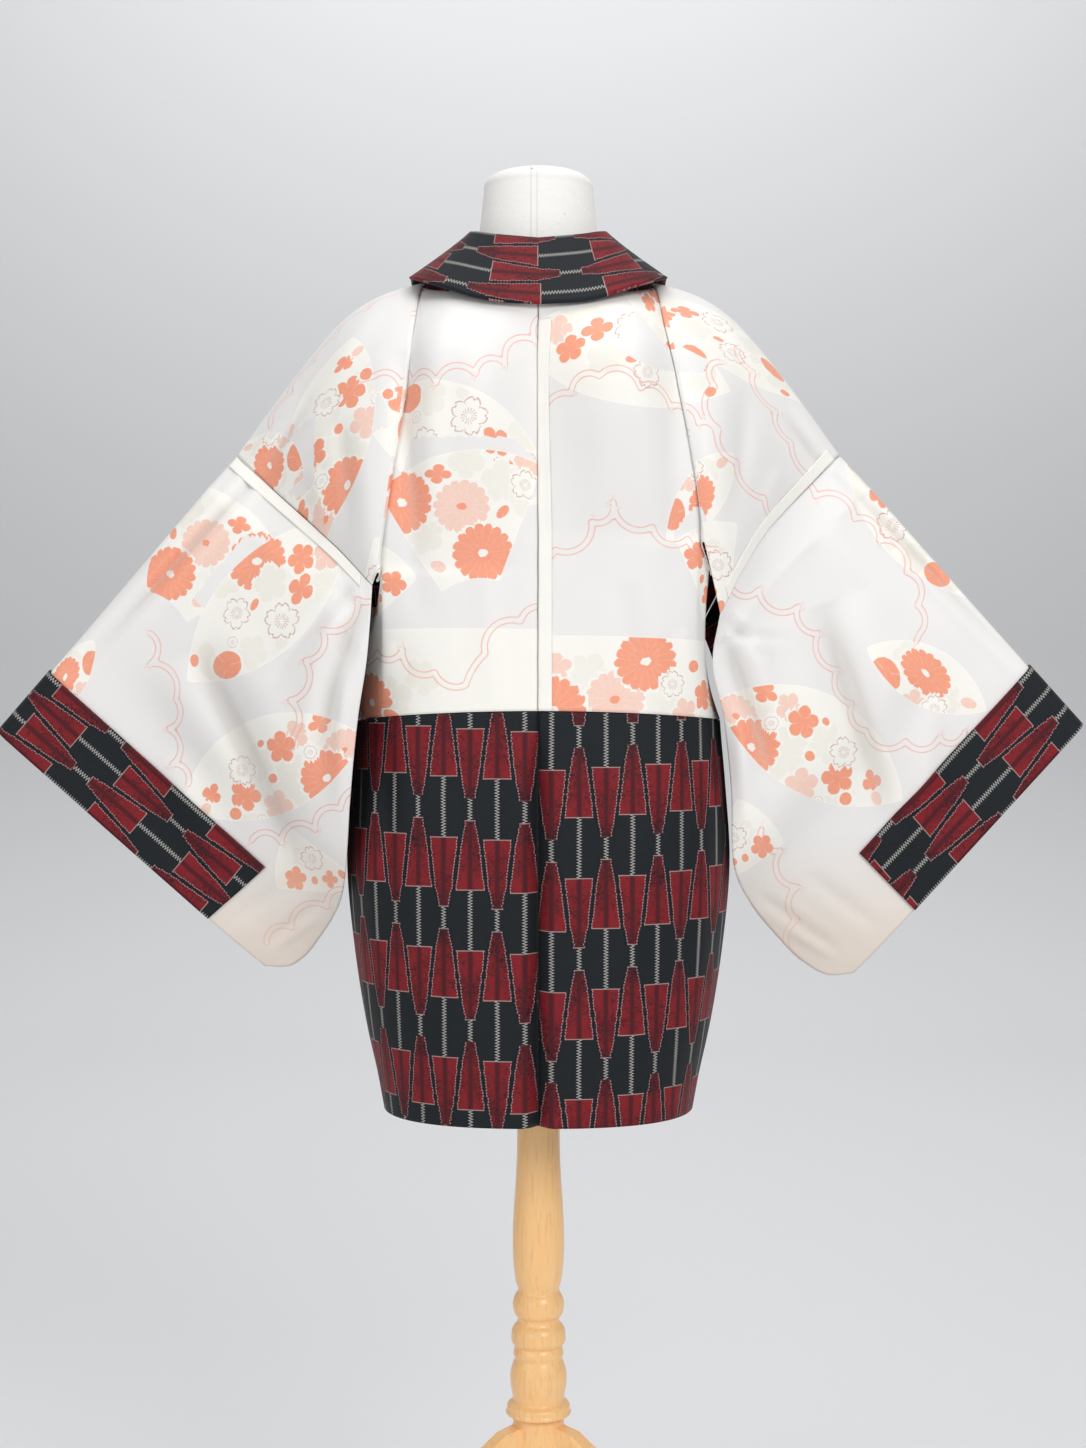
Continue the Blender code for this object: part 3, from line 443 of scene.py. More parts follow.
def body_lining(side):
    """All of one lining panel as grids that share their edge points; each point is x, y, z, u, v."""
    back_rows = np.linspace(0, 1, 96)
    front_rows = -np.linspace(1, 0, 116)[:-1]
    top = len(front_rows)
    _, back_edge, front_edge, collar_seam = RING_SEAMS[1]
    pleat = pleat_layers(side, back_rows)
    back = back_panel(side, *np.meshgrid(np.linspace(0, 1, 53), back_rows), pleat[:, -1])
    back[:, -1] = pleat[:, -1]
    spread = np.concatenate((front_rows, back_rows))
    shoulder = shoulder_cloth(side, *np.meshgrid(np.linspace(0, 1, 60), spread))
    shoulder[top:, 0] = pleat[:, 0]
    shoulder = pull(shoulder, -1, ARM_GAP)

    # The row along the pleat's foot and on round the side, and the rows from there to the hem seam
    foot, fold_foot = back[-1], pleat[-1, ::-1][1:9]
    side_top = [(k, *corner) for k, corner in enumerate((fold_foot[-1, :2], *SIDE_TOP[side]))]
    edge = spline(side_top, np.linspace(0, 3, 19)[1:])
    edge = np.column_stack((edge, np.full(len(edge), foot[-1, 2] - SIDE_DROP)))
    top_row = np.concatenate((foot, fold_foot, edge))
    share = chain_run(top_row)
    share *= back_edge / share[-1]
    hem = body_ring([HEM_SEAM + SEAM_GAP], [share])[0]
    hem[0, 1] = spline(CENTRE_BACK, HEM_SEAM)[0]
    down = np.linspace(0, 1, 49)[:, None, None]
    lower = top_row * (1 - down) + hem * down
    wrap = np.clip((share / back_edge - 0.5) * 4, 0, 1)
    lower[..., 0] -= SIDE_PINCH[side] * wrap * np.sin(math.pi * down[..., 0])
    collar_share = np.linspace(collar_seam, front_edge, shoulder.shape[1])
    front_hem = body_ring([HEM_SEAM + SEAM_GAP], [collar_share])[0]
    front = shoulder[0] * (1 - down) + front_hem * down
    back[:, 0, 0] += SEAM_GAP
    lower[:, 0, 0] = SEAM_GAP
    for part in (back, lower, pleat):
        lift_seam(part)

    back_u, lower_u, pleat_u = runs(back, 1), runs(lower, 1), runs(pleat, 1)
    pleat_u = back_u[:, -1:] + pleat_u[:, -1:] - pleat_u
    upright = shoulder * np.array([0.0, 1.0, 1.0])
    shoulder_u = shoulder[..., 0] * GRAIN + GRAIN_START
    behind_v = shoulder[-1:, :, 2] + runs(upright[:top - 1:-1], 0)[::-1]
    before_v = FRONT_CUT - shoulder[:1, :, 2] - runs(upright[:top + 1], 0)
    turn = len(foot) + len(fold_foot) - 1
    return [
        with_map(shoulder[top:], shoulder_u[top:], behind_v),
        with_map(shoulder[:top + 1], shoulder_u[:top + 1], before_v),
        with_map(pleat, pleat_u, pleat[..., 2]),
        with_map(back, back_u, back[..., 2]),
        with_map(lower[:, :turn + 1], lower_u[:, :turn + 1], lower[:, :turn + 1, 2]),
        with_map(lower[2:, turn:], lower_u[2:, turn:], lower[2:, turn:, 2]),
        with_map(front, front[..., 0] * GRAIN + GRAIN_START, FRONT_CUT - front[..., 2]),
    ]


def hem_panel(start, end, columns, rows):
    """Outer cloth below the hem seam between two of the body's seams (columns of RING_SEAMS)."""
    top = HEM_SEAM - SEAM_GAP
    heights = top - (top - HEM) * rows
    seams = spline(RING_SEAMS, heights)
    first = np.zeros_like(heights) if start is None else seams[:, start]
    share = first[:, None] + (seams[:, end] - first)[:, None] * columns
    points = body_ring(heights, share)
    flat_u = runs(points, 1)
    if start is None:
        valley = np.exp(-((points[..., 0] / FURROW) ** 2))
        points[:, 0, 1] = spline(CENTRE_BACK, heights)[:, 0]
        points[..., 1] += FURROW_DEPTH * valley * np.clip(rows[:, None] * 6, 0, 1)
        lift_seam(points)
    return with_map(pull(pull(points, 0), -1), flat_u, points[..., 2])


def sleeve_points(side, across, down):
    """Sleeve from armhole (0) to wrist (1); down is -1 front foot, 0 top edge, 1 back foot."""
    start = np.array(spline(ARMHOLE[side], 0.0))
    tip = np.array(WRIST_TOP[side])

    def half(sign, foot_table, share):
        def wrist(d):
            return tip + (np.array(foot_table[-1][1:]) - tip) * d[..., None]

        def top(s):
            return start + (tip - start) * s[..., None]

        def foot(s):
            return spline(foot_table, s)

        arm = spline(ARMHOLE[side], sign * share)
        a, d = across[..., None], share[..., None]
        none = 0 * across
        corners = (1 - a) * (1 - d) * top(none) + a * (1 - d) * top(none + 1)
        corners = corners + (1 - a) * d * foot(none) + a * d * foot(none + 1)
        points = (1 - a) * arm + a * wrist(share) + (1 - d) * top(across) + d * foot(across) - corners
        height = share * np.linalg.norm(foot(across) - top(across), axis=-1)
        roll = np.sqrt(1 - (1 - np.clip(height / TOP_ROUND, 0, 1)) ** 2)
        points[..., 1] -= sign * TOP_ROUND * roll * np.clip(across / TOP_FLAT, 0, 1) * (1 - share**8)
        return points

    behind = half(1.0, SLEEVE_FOOT[side], np.maximum(down, 0.0))
    closed = [(share, x - y * 0.30, -y, z) for share, x, y, z in SLEEVE_FOOT[side] if share >= FOOT_SEAM]
    before = half(-1.0, SLEEVE_FRONT + tuple(closed), np.maximum(-down, 0.0))
    points = np.where((down >= 0)[..., None], behind, before)
    along = (tip - start) / np.linalg.norm(tip - start)
    off = points - start
    u = off @ along
    drop = np.abs(off @ np.array([-along[2], 0.0, along[0]]))
    round_part = TOP_ROUND * np.arccos(1 - np.clip(drop / TOP_ROUND, 0, 1))
    v = np.where(drop < TOP_ROUND, round_part, drop - TOP_ROUND + TOP_ROUND * math.pi / 2)
    return with_map(points, u, v * np.where(down >= 0, 1, -1))


SLEEVE_ROWS = np.concatenate((np.linspace(0, 0.06, 13)[:-1], np.linspace(0.06, 1, 118)))
SLEEVE_DOWN = np.concatenate((-SLEEVE_ROWS[:0:-1], SLEEVE_ROWS))
SLEEVE_COLUMNS = np.linspace(0, 1, 121)


def cuff_points(sleeve, length):
    """The band lies on the last stretch of the sleeve, clear of it all round, and ends square."""
    reaches = np.linspace(CUFF, 0.0, 25)
    spread = np.linspace(-1, 1, 241)
    down = spread[:, None] * (length[0] + (length[1] - length[0]) * reaches / CUFF)
    columns = []
    for reach, stops in zip(reaches, down.T):
        path = np.array([
            [np.interp(row[-1, 3] - reach, row[:, 3], row[:, k]) for k in (0, 1, 2, 4)] for row in sleeve
        ])
        columns.append(np.stack([np.interp(stops, path[:, 3], path[:, k]) for k in range(3)], -1))
    points = np.stack(columns, axis=1)
    normal = surface_normals(points)
    centre = points.mean(axis=(0, 1))
    if np.sum(normal * (points - centre) * np.array([0.0, 1.0, 0.0])) < 0:
        normal = -normal
    points = points + normal * CUFF_CLEAR
    return with_map(points, np.broadcast_to(reaches, down.shape), down)


def collar_points():
    """The whole collar band, across its width (0 inner edge) from front hem to front hem."""
    share = np.concatenate((np.linspace(0, 0.30, 70)[:-1], np.linspace(0.30, 1, 150)))
    edges = spline(COLLAR, share)
    across = np.linspace(0, 1, 21)[:, None]
    half = edges[:, None, :3] * (1 - across) + edges[:, None, 3:] * across
    other = half[:0:-1] * np.array([-1.0, 1.0, 1.0])
    points = np.concatenate((other, half))
    middle = runs(points[:, 10:11], 0)[:, 0]
    v = np.broadcast_to((middle - middle[len(other)])[:, None], points.shape[:2])
    return with_map(points, runs(points, 1), v)


# ---- sewing ----

SIDES = {"left": -1.0, "right": 1.0}


def facing(cloth, outward):
    """Turn an open sheet so that its outer face looks along outward(point)."""
    total = sum(face.normal.dot(outward(face.calc_center_median())) for face in cloth.faces)
    if total < 0:
        bmesh.ops.reverse_faces(cloth, faces=cloth.faces)


def from_axis(at):
    """Away from the middle of the body."""
    out = at.copy()
    out.y += CENTRE
    out.z = max(at.z - 1.25, 0) * 0.6
    return out.normalized()


def front_and_back(at):
    """To the front before the form's axis, and to the back behind it."""
    return Vector((0.0, 1.0 if at.y + CENTRE > 0 else -1.0, 0.0))


def to_back(at):
    return Vector((0.0, -1.0, 0.0))


def piece_from(name, shape):
    """Object made of a finished bmesh, which is freed."""
    mesh = bpy.data.meshes.new(name)
    shape.to_mesh(mesh)
    shape.free()
    mesh.shade_smooth()
    made = bpy.data.objects.new(name, mesh)
    bpy.context.scene.collection.objects.link(made)
    return made


def sheet(name, grids, mirror, outward, shape=None):
    """A sheet of cloth from grids of x, y, z, u, v points, welded where their edges meet."""
    cloth = bmesh.new()
    cloth.loops.layers.uv.new("cloth")
    for points in grids:
        rows, columns = points.shape[:2]
        piece = bmesh.new()
        layer = piece.loops.layers.uv.new("cloth")
        bmesh.ops.create_grid(piece, x_segments=columns - 1, y_segments=rows - 1, size=0.5)
        where = {
            vert: (round((vert.co.y + 0.5) * (rows - 1)), round((vert.co.x + 0.5) * (columns - 1)))
            for vert in piece.verts
        }
        for face in piece.faces:
            for loop in face.loops:
                loop[layer].uv = points[where[loop.vert]][3:5]
        for vert, at in where.items():
            x, y, z = points[at][:3]
            vert.co = (x * mirror, y - CENTRE, z)
        held = bpy.data.meshes.new("part")
        piece.to_mesh(held)
        piece.free()
        cloth.from_mesh(held)
        bpy.data.meshes.remove(held)
    bmesh.ops.remove_doubles(cloth, verts=cloth.verts, dist=WELD)
    bmesh.ops.recalc_face_normals(cloth, faces=cloth.faces)
    facing(cloth, outward)
    cloth.normal_update()
    if shape:
        shape(cloth)
    return piece_from(name, cloth)


def map_of(mesh):
    """The cloth's flat coordinates at every face corner."""
    uv = np.empty(len(mesh.loops) * 2)
    mesh.uv_layers["cloth"].data.foreach_get("uv", uv)
    return uv.reshape(-1, 2)


def flat_size(piece):
    """Width, length and area of the cut that a sheet was laid out on, from its own flat map."""
    uv = map_of(piece.data)
    width, deep = uv.max(0) - uv.min(0)
    return float(width), float(deep), float(sum(face.area for face in piece.data.polygons))


def give_wall(piece, wall, outer_side, inner_side):
    """Thickness with the outer cloth on its hidden side."""
    piece.data.materials.append(outer_side)
    piece.data.materials.append(inner_side)
    solid = piece.modifiers.new("Wall", "SOLIDIFY")
    solid.thickness = wall
    solid.offset = 0.0
    solid.use_even_offset = False
    solid.material_offset = 1
    solid.material_offset_rim = 0


def stand_in(piece, slot, *nodes):
    """Hide the parts that the piece replaces and hang it on the root, which it moves with."""
    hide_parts(*nodes)
    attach(piece, "root")


def hand_in(piece, slot, nodes, strip_width=None):
    """Work out the size of a sheet's cut, hide the parts that the sheet stands for and hang it on the root.
    """
    width, deep, area = flat_size(piece)
    if strip_width:
        width, deep = strip_width, area / strip_width
    stand_in(piece, slot, *nodes)
    share = area / (width * deep)
    if share > 1.0:
        width, deep = width * math.sqrt(share) * 1.001, deep * math.sqrt(share) * 1.001


# Soft folds, in millimetres: at the back (1) or the front (-1), x and z of both ends, half width, height
# (a trough is negative), and how evenly the fold runs out (0 to 1)
CREASES = {
    "body_left": (
        (1, -118, 1318, -104, 1075, 10, -5.2, 0.6), (1, -70, 1350, -76, 1180, 13, -2.2, 0.4),
        (1, -48, 1130, -40, 995, 10, 1.8, 0.8), (1, -205, 1285, -262, 1214, 8.5, -5, 0.9),
        (1, -150, 1372, -215, 1262, 12, 3.4, 0.5), (1, -176, 1262, -166, 1140, 10, -4, 0.7),
        (1, -205, 1220, -190, 1140, 7, 2.4, 0.5), (1, -132, 1060, -150, 1000, 9, 2.4, 0.6),
        (-1, -150, 1330, -120, 1020, 13, -4.5, 0.5), (-1, -190, 1270, -160, 1090, 10, 3.2, 0.7),
        (-1, -205, 1285, -262, 1214, 8.5, -4, 0.9),
    ),
    "body_right": (
        (1, 112, 1335, 118, 1080, 12, -3, 0.6), (1, 60, 1290, 52, 1120, 14, 2, 0.4),
        (1, 78, 1110, 94, 996, 10, -2.4, 0.8), (1, 228, 1272, 272, 1222, 8, -5.5, 0.9),
        (1, 160, 1372, 230, 1280, 12, 3.6, 0.5), (1, 186, 1290, 170, 1150, 11, -3.8, 0.7),
        (1, 222, 1220, 200, 1165, 7, 2.6, 0.5), (1, 128, 1070, 146, 1010, 8, 2.2, 0.6),
        (-1, 142, 1340, 126, 1030, 12, -4.2, 0.5), (-1, 186, 1280, 170, 1100, 11, 3, 0.7),
        (-1, 228, 1272, 272, 1222, 8, -4.5, 0.9),
    ),
    "sleeve_left": (
        (1, -262, 1218, -446, 1024, 5.5, -6.2, 0.5), (1, -262, 1178, -352, 1064, 12, 3, 0.4),
        (1, -166, 1108, -244, 1024, 6.5, -5, 0.2), (1, -160, 1098, -200, 950, 9, -7.5, 0.3),
        (1, -172, 1050, -178, 890, 8, 3.6, 0.5), (1, -318, 1060, -206, 842, 17, -8.5, 0.6),
        (1, -352, 962, -292, 838, 14, 4.2, 0.7), (1, -196, 826, -262, 776, 5, -2, 0.6),
        (1, -208, 806, -252, 772, 3.5, 1.2, 0.8), (1, -228, 842, -300, 794, 7, -1.8, 0.5),
        (-1, -270, 1200, -420, 1040, 9, -4, 0.6), (-1, -180, 1080, -220, 900, 12, -5.5, 0.4),
        (-1, -310, 1050, -240, 850, 16, 5, 0.6), (-1, -230, 830, -300, 790, 6, -1.8, 0.6),
    ),
    "sleeve_right": (
        (1, 278, 1222, 462, 1036, 5.5, -5.6, 0.5), (1, 268, 1166, 360, 1066, 13, 3, 0.4),
        (1, 170, 1082, 206, 1044, 5, -3.4, 0.2), (1, 168, 1070, 232, 1062, 4.5, -2.4, 0.2),
        (1, 170, 1064, 220, 920, 10, -7.2, 0.3), (1, 182, 1000, 190, 872, 8, 3.4, 0.5),
        (1, 262, 1096, 338, 880, 17, -8, 0.6), (1, 372, 1010, 352, 862, 14, 4, 0.7),
        (1, 206, 826, 286, 772, 5, -2, 0.6), (1, 236, 792, 282, 764, 3.5, 1.2, 0.8),
        (1, 252, 846, 326, 790, 7, -1.8, 0.5), (-1, 280, 1196, 430, 1040, 9, -4.2, 0.6),
        (-1, 186, 1060, 230, 900, 12, -5.2, 0.4), (-1, 270, 1080, 330, 880, 16, 4.8, 0.6),
        (-1, 250, 830, 320, 790, 6, -1.8, 0.6),
    ),
    "back_hem_left": (
        (1, -138, 976, -128, 742, 9, -4, 0.5), (1, -82, 930, -72, 640, 11, 2.6, 0.7),
        (1, -40, 960, -34, 690, 9, -2.2, 0.5),
    ),
    "back_hem_right": (
        (1, 144, 968, 126, 700, 9, -3.6, 0.5), (1, 92, 900, 78, 645, 12, 2.8, 0.7),
        (1, 44, 972, 40, 720, 9, -2.4, 0.5),
    ),
    "front_hem_left": ((-1, -120, 960, -108, 660, 11, -3.4, 0.6),),
    "front_hem_right": ((-1, 116, 950, 112, 690, 10, -3.6, 0.5),),
}


FOLD_DEEP = 0.006  # a trough this deep is fully shaded


def crease(creases):
    """Move every layer of a sheet's back or front half in or out along soft lines, and store each point's
    depth in a trough for the lining's painted fold shade.
    """

    def shape(cloth):
        points = np.array([vert.co for vert in cloth.verts])
        across = np.array([abs(vert.normal.y) for vert in cloth.verts])
        half = np.where(points[:, 1] + CENTRE < 0, 1, -1)
        shift = np.zeros(len(points))
        for looks, *sizes, even in creases:
            x1, z1, x2, z2, wide, depth = np.array(sizes) / 1000.0
            start, end = np.array([x1, z1]), np.array([x2, z2])
            run = np.linalg.norm(end - start)
            way = (end - start) / run
            off = points[:, (0, 2)] - start
            along = np.clip(off @ way / run, 0, 1)
            aside = off @ np.array([-way[1], way[0]])
            ends = np.sin(math.pi * along ** (0.35 + 0.65 * even)) ** 0.8
            valley = np.exp(-((aside / wide) ** 2))
            bank = np.exp(-(((np.abs(aside) - 2.1 * wide) / (1.2 * wide)) ** 2))
            seen = np.clip(across * 2.2 - 0.4, 0, 1) * (half == looks)
            shift += seen * ends * depth * (valley - 0.45 * bank) * looks
        for vert, amount in zip(cloth.verts, shift):
            vert.co.y -= float(amount)
        # painted shade: the depth of each trough, which darkens the lining's colour there
        fold = cloth.verts.layers.float.new("fold")
        for vert, deep in zip(cloth.verts, np.clip(-shift * half / FOLD_DEEP, 0, 1)):
            vert[fold] = float(deep)
        cloth.normal_update()

    return shape


# ---- materials ----


class Value:
    """A number running through a material's nodes, so that a pattern reads as arithmetic."""

    def __init__(self, tree, socket):
        self.tree, self.socket = tree, socket

    def math(self, operation, *others, clamp=False):
        node = self.tree.nodes.new("ShaderNodeMath")
        node.operation, node.use_clamp = operation, clamp
        for slot, value in zip(node.inputs, (self,) + others):
            if isinstance(value, Value):
                self.tree.links.new(value.socket, slot)
            else:
                slot.default_value = value
        return Value(self.tree, node.outputs[0])

    def __add__(self, other):
        return self.math("ADD", other)

    def __sub__(self, other):
        return self.math("SUBTRACT", other)

    def __mul__(self, other):
        return self.math("MULTIPLY", other)

    def __truediv__(self, other):
        return self.math("DIVIDE", other)

    def size(self):
        return self.math("ABSOLUTE")

    def least(self, other):
        return self.math("MINIMUM", other)

    def most(self, other):
        return self.math("MAXIMUM", other)

    def over(self, limit, soft):
        """1 above the limit and 0 below it, with a soft step."""
        return ((self - limit) / soft + 0.5).math("ADD", 0.0, clamp=True)

    def under(self, limit, soft):
        return (self * -1.0).over(limit * -1.0, soft)

    def no(self):
        return self * -1.0 + 1.0


def mix(tree, share, first, second):
    """Colour between two colours or colour sockets."""
    node = tree.nodes.new("ShaderNodeMix")
    node.data_type = "RGBA"
    tree.links.new(share.socket, node.inputs["Factor"])
    for slot, value in ((node.inputs[6], first), (node.inputs[7], second)):
        if isinstance(value, bpy.types.NodeSocket):
            tree.links.new(value, slot)
        else:
            slot.default_value = (*value, 1.0)
    return node.outputs[2]


def new_material(name):
    made = bpy.data.materials.new(name)
    made.use_nodes = True
    tree = made.node_tree
    return made, tree, tree.nodes["Principled BSDF"]


def finish(tree, shader, tone, **sockets):
    """Set the shader's colour and the sockets that are the same all over."""
    tree.links.new(tone, shader.inputs["Base Color"])
    for name, value in sockets.items():
        shader.inputs[name.replace("_", " ")].default_value = value


def tinted(tones, factor):
    return [min(tone * factor, 1.0) for tone in tones]


def split(tree, socket):
    node = tree.nodes.new("ShaderNodeSeparateXYZ")
    tree.links.new(socket, node.inputs[0])
    return [Value(tree, out) for out in node.outputs]


def flat_map(tree):
    node = tree.nodes.new("ShaderNodeUVMap")
    node.uv_map = "cloth"
    return node.outputs[0]


def attribute(tree, name):
    node = tree.nodes.new("ShaderNodeAttribute")
    node.attribute_name = name
    return node


def noise(tree, vector, scale, detail=2.0, rough=0.5, stretch=None):
    if stretch:
        lay = tree.nodes.new("ShaderNodeMapping")
        lay.inputs["Scale"].default_value = stretch
        tree.links.new(vector, lay.inputs["Vector"])
        vector = lay.outputs[0]
    node = tree.nodes.new("ShaderNodeTexNoise")
    node.inputs["Scale"].default_value = scale
    node.inputs["Detail"].default_value = detail
    node.inputs["Roughness"].default_value = rough
    tree.links.new(vector, node.inputs["Vector"])
    return Value(tree, node.outputs["Fac"])


def bump(tree, shader, height, strength, distance):
    node = tree.nodes.new("ShaderNodeBump")
    node.inputs["Strength"].default_value = strength
    node.inputs["Distance"].default_value = distance
    tree.links.new(height.socket, node.inputs["Height"])
    tree.links.new(node.outputs[0], shader.inputs["Normal"])


def weave(tree, flat, across, along):
    """Height of crossing yarns, so many to the metre each way."""
    u, v, _ = split(tree, flat)
    warp = (u * (across * math.pi)).math("SINE").size()
    weft = (v * (along * math.pi)).math("SINE").size()
    return warp * 0.6 + weft * 0.4


# Figures of the outer cloth, in millimetres along a column: from one pair to the next, length of a pair
# with the gap between its feet, length of one figure; and the shares of it at which it narrows
FIGURE_REPEAT, FIGURE_PAIR, FIGURE = 196.0, 143.0, 62.0
FIGURE_STEPS = (0.745, 0.80, 0.86, 0.925)
STITCH = 2.6
CHANNEL_SHADE = (0.008, 0.011, 0.018)


def outer_cloth(settings):
    """Dark silk with columns of stepped red figures joined by zigzag threads."""
    made, tree, shader = new_material("outer_cloth")
    flat = flat_map(tree)
    u, v, _ = split(tree, flat)
    u, v = u * 1000.0, v * 1000.0
    fray = noise(tree, flat, 1500.0, 1.0)
    drift = noise(tree, flat, 22.0, 1.0)
    wide = settings.pitch * 2000.0  # the columns repeat every second one
    u = u + (drift - 0.5) * 1.2 + (fray - 0.5) * 0.5
    jag = ((((v / 2.2).math("FLOOR") * 78.233).math("SINE") * 437.585).math("FRACT") - 0.5) * 1.1
    ticks = (v / STITCH).math("FRACT")
    zig = (ticks - 0.5).size() * 7.0 - 1.75
    parts = []
    # t runs down the repeat, and s from a figure's foot (0) to its tip (1)
    for shift in (0.0, 0.5):
        x = ((u / wide + shift).math("FRACT") - 0.5) * wide
        column = (u / wide + shift).math("FLOOR")
        t = (v / FIGURE_REPEAT * -1.0 + shift + column * 0.013).math("FRACT") * FIGURE_REPEAT
        ax = x.size()
        lower = t.over(FIGURE_PAIR / 2, 0.01)
        s = (t / FIGURE) * lower.no() + ((t * -1.0 + FIGURE_PAIR) / FIGURE) * lower
        inside = s.over(0.0, 0.001) * s.under(1.0, 0.001)
        half = (s * -7.0 + 12.9).most(7.8) + jag * 0.9
        for step in FIGURE_STEPS:
            half = half - s.over(step, 0.001) * 0.72
        rim = (half - ax).least(s * FIGURE).least((s * -1.0 + 1.0) * FIGURE)
        fill = rim.over(0.0, 0.25) * inside
        dots = ticks.over(0.38, 0.2).most(s.under(0.02, 0.004))
        line = rim.over(0.0, 0.3) * rim.under(0.85, 0.35) * dots * inside
        strand = (x - zig).size().under(0.9, 0.4) * (inside.no()) * (fray * 0.9 + 0.5)
        dark = (half - ax).over(-2.4, 0.4) * inside
        core = (ax + (fray - 0.5) * 3.0).under(2.3, 1.8) * fill
        parts.append((fill, line, strand, dark, s * fill, core))
    figure, edge, thread, channel, depth, stripe = (one.most(other) for one, other in zip(*parts))
    mottle = noise(tree, flat, 700.0, 2.0, 0.7)
    patch = noise(tree, flat, 55.0, 1.0)
    fleck = noise(tree, flat, 300.0, 3.0, 0.7)
    shade = (mottle - 0.5) * 2.6 + (fleck - 0.5) * 3.2 + depth * 0.95 - 0.06 + (patch - 0.5) * 1.6
    shade = (shade * 0.8).math("ADD", 0.0, clamp=True).most(stripe * 0.72)
    red = mix(tree, shade, settings.red, settings.dark)
    cloudy = noise(tree, flat, 900.0, 2.0, stretch=(1.0, 0.25, 1.0))
    plain = mix(tree, cloudy, tinted(settings.ground, 0.82), tinted(settings.ground, 1.25))
    plain = mix(tree, channel * 0.6, plain, CHANNEL_SHADE)
    tone = mix(tree, figure, plain, red)
    tone = mix(tree, edge * (fray * 0.6 + 0.5), tone, settings.edge)
    tone = mix(tree, thread.math("ADD", 0.0, clamp=True), tone, settings.thread)
    finish(
        tree, shader, tone, Roughness=0.58, Specular_IOR_Level=0.14, Sheen_Weight=0.04, Sheen_Roughness=0.4
    )
    height = weave(tree, flat, 1500.0, 1100.0) * 0.5 + thread * 0.8 + mottle * 0.3
    bump(tree, shader, height, 0.35, 0.0004)
    return made


RIM_WHITE = (0.95, 0.94, 0.90)  # thin edge of the cream grounds
WARM_BELOW = 0.885  # height under which the lining shows warmer


def lining_cloth(settings):
    """Satin with cream fans, scalloped lines and coral chrysanthemums."""
    made, tree, shader = new_material("lining_cloth")
    flat = flat_map(tree)
    ground = Value(tree, attribute(tree, "ground").outputs["Fac"])
    cloud = Value(tree, attribute(tree, "cloud").outputs["Fac"])
    x, y, petals = split(tree, attribute(tree, "flower").outputs["Vector"])
    notch, tint, drawn = split(tree, attribute(tree, "look").outputs["Vector"])
    wander = noise(tree, flat, 130.0, 2.0)
    stray = noise(tree, flat, 330.0, 2.0)
    x, y = x + (wander - 0.5) * 0.16, y + (stray - 0.5) * 0.14
    # Each flower lies round x = y = 0 with a radius near 1, and lobe is 1 in the middle of a petal
    r = (x * x + y * y).math("SQRT")
    turn = y.math("ARCTAN2", x)
    lobe = (turn * petals * 0.5).math("COSINE").size()
    bound = lobe.math("SQRT") * notch + (notch * -1.0 + 1.0) - lobe.over(0.972, 0.04) * drawn * 0.13
    inside = (r - bound).under(0.0, 0.03)
    within = ground.under(0.0, 0.5)
    cream = mix(tree, wander, tinted(settings.cream, 0.985), tinted(settings.cream, 1.02))
    tone = mix(tree, within, settings.silver, cream)
    rim = ground.size().under(0.55, 0.5) * 0.55
    tone = mix(tree, rim, tone, RIM_WHITE)
    ribs = (lobe * r).under(0.045, 0.03) * r.over(0.30, 0.05) * 0.55
    eye = ((x / 0.17) * (x / 0.17) + (y / 0.13) * (y / 0.13)).under(1.0, 0.2)
    washed = noise(tree, flat, 240.0, 3.0, 0.6)
    is_pale = tint.over(0.5, 0.1)
    is_beige = tint.over(1.5, 0.1)
    fill = mix(tree, is_pale, settings.coral, settings.pale)
    fill = mix(tree, is_beige, fill, settings.beige)
    lighter = mix(tree, is_pale, settings.pale, settings.cream)
    fill = mix(tree, ribs + (washed - 0.45).most(0.0) * 0.55, fill, lighter)
    heart = mix(tree, is_pale, settings.cream, settings.coral)
    fill = mix(tree, eye * notch.under(0.3, 0.01) * notch.over(0.1, 0.01) * (is_beige.no()), fill, heart)
    solid = inside * within * drawn.no()
    tone = mix(tree, solid * (is_beige * -0.62 + 1.0), tone, fill)
    outline = (r - bound).size().under(0.045, 0.03)
    stamen = (turn * 7.5).math("COSINE").size().over(0.82, 0.1) * r.over(0.12, 0.03) * r.under(0.42, 0.03)
    sketch = (outline.most(stamen * 0.8)) * drawn * within * (stray.over(0.42, 0.1) * 0.5 + 0.5)
    tone = mix(tree, sketch * 0.75, tone, settings.thread)
    double = (cloud.size() - PAIR).size().under(0.55, 0.4) * (noise(tree, flat, 90.0, 1.0) * 0.5 + 0.5)
    tone = mix(tree, double, tone, settings.line)
    # Painted shade at the bottom of the folds, and the lining drawn warmer and darker towards the sleeves'
    # feet
    height_above = split(tree, object_place(tree))[2]
    shaded = Value(tree, attribute(tree, "fold").outputs["Fac"])
    tone = mix(tree, shaded * shaded * 0.42, tone, settings.shade)
    warm = (height_above * -1.0 + WARM_BELOW).most(0.0).math("ADD", 0.0, clamp=True) * 5.5
    tone = mix(tree, warm.least(0.55), tone, settings.warm)
    finish(
        tree, shader, tone, Roughness=0.46, Specular_IOR_Level=0.30, Sheen_Weight=0.15, Sheen_Roughness=0.35
    )
    soft = noise(tree, flat, 16.0, 3.0, 0.5, stretch=(1.0, 0.45, 1.0))
    height = weave(tree, flat, 2200.0, 1600.0) * 0.10 + soft * 2.2
    bump(tree, shader, height, 0.30, 0.0012)
    return made


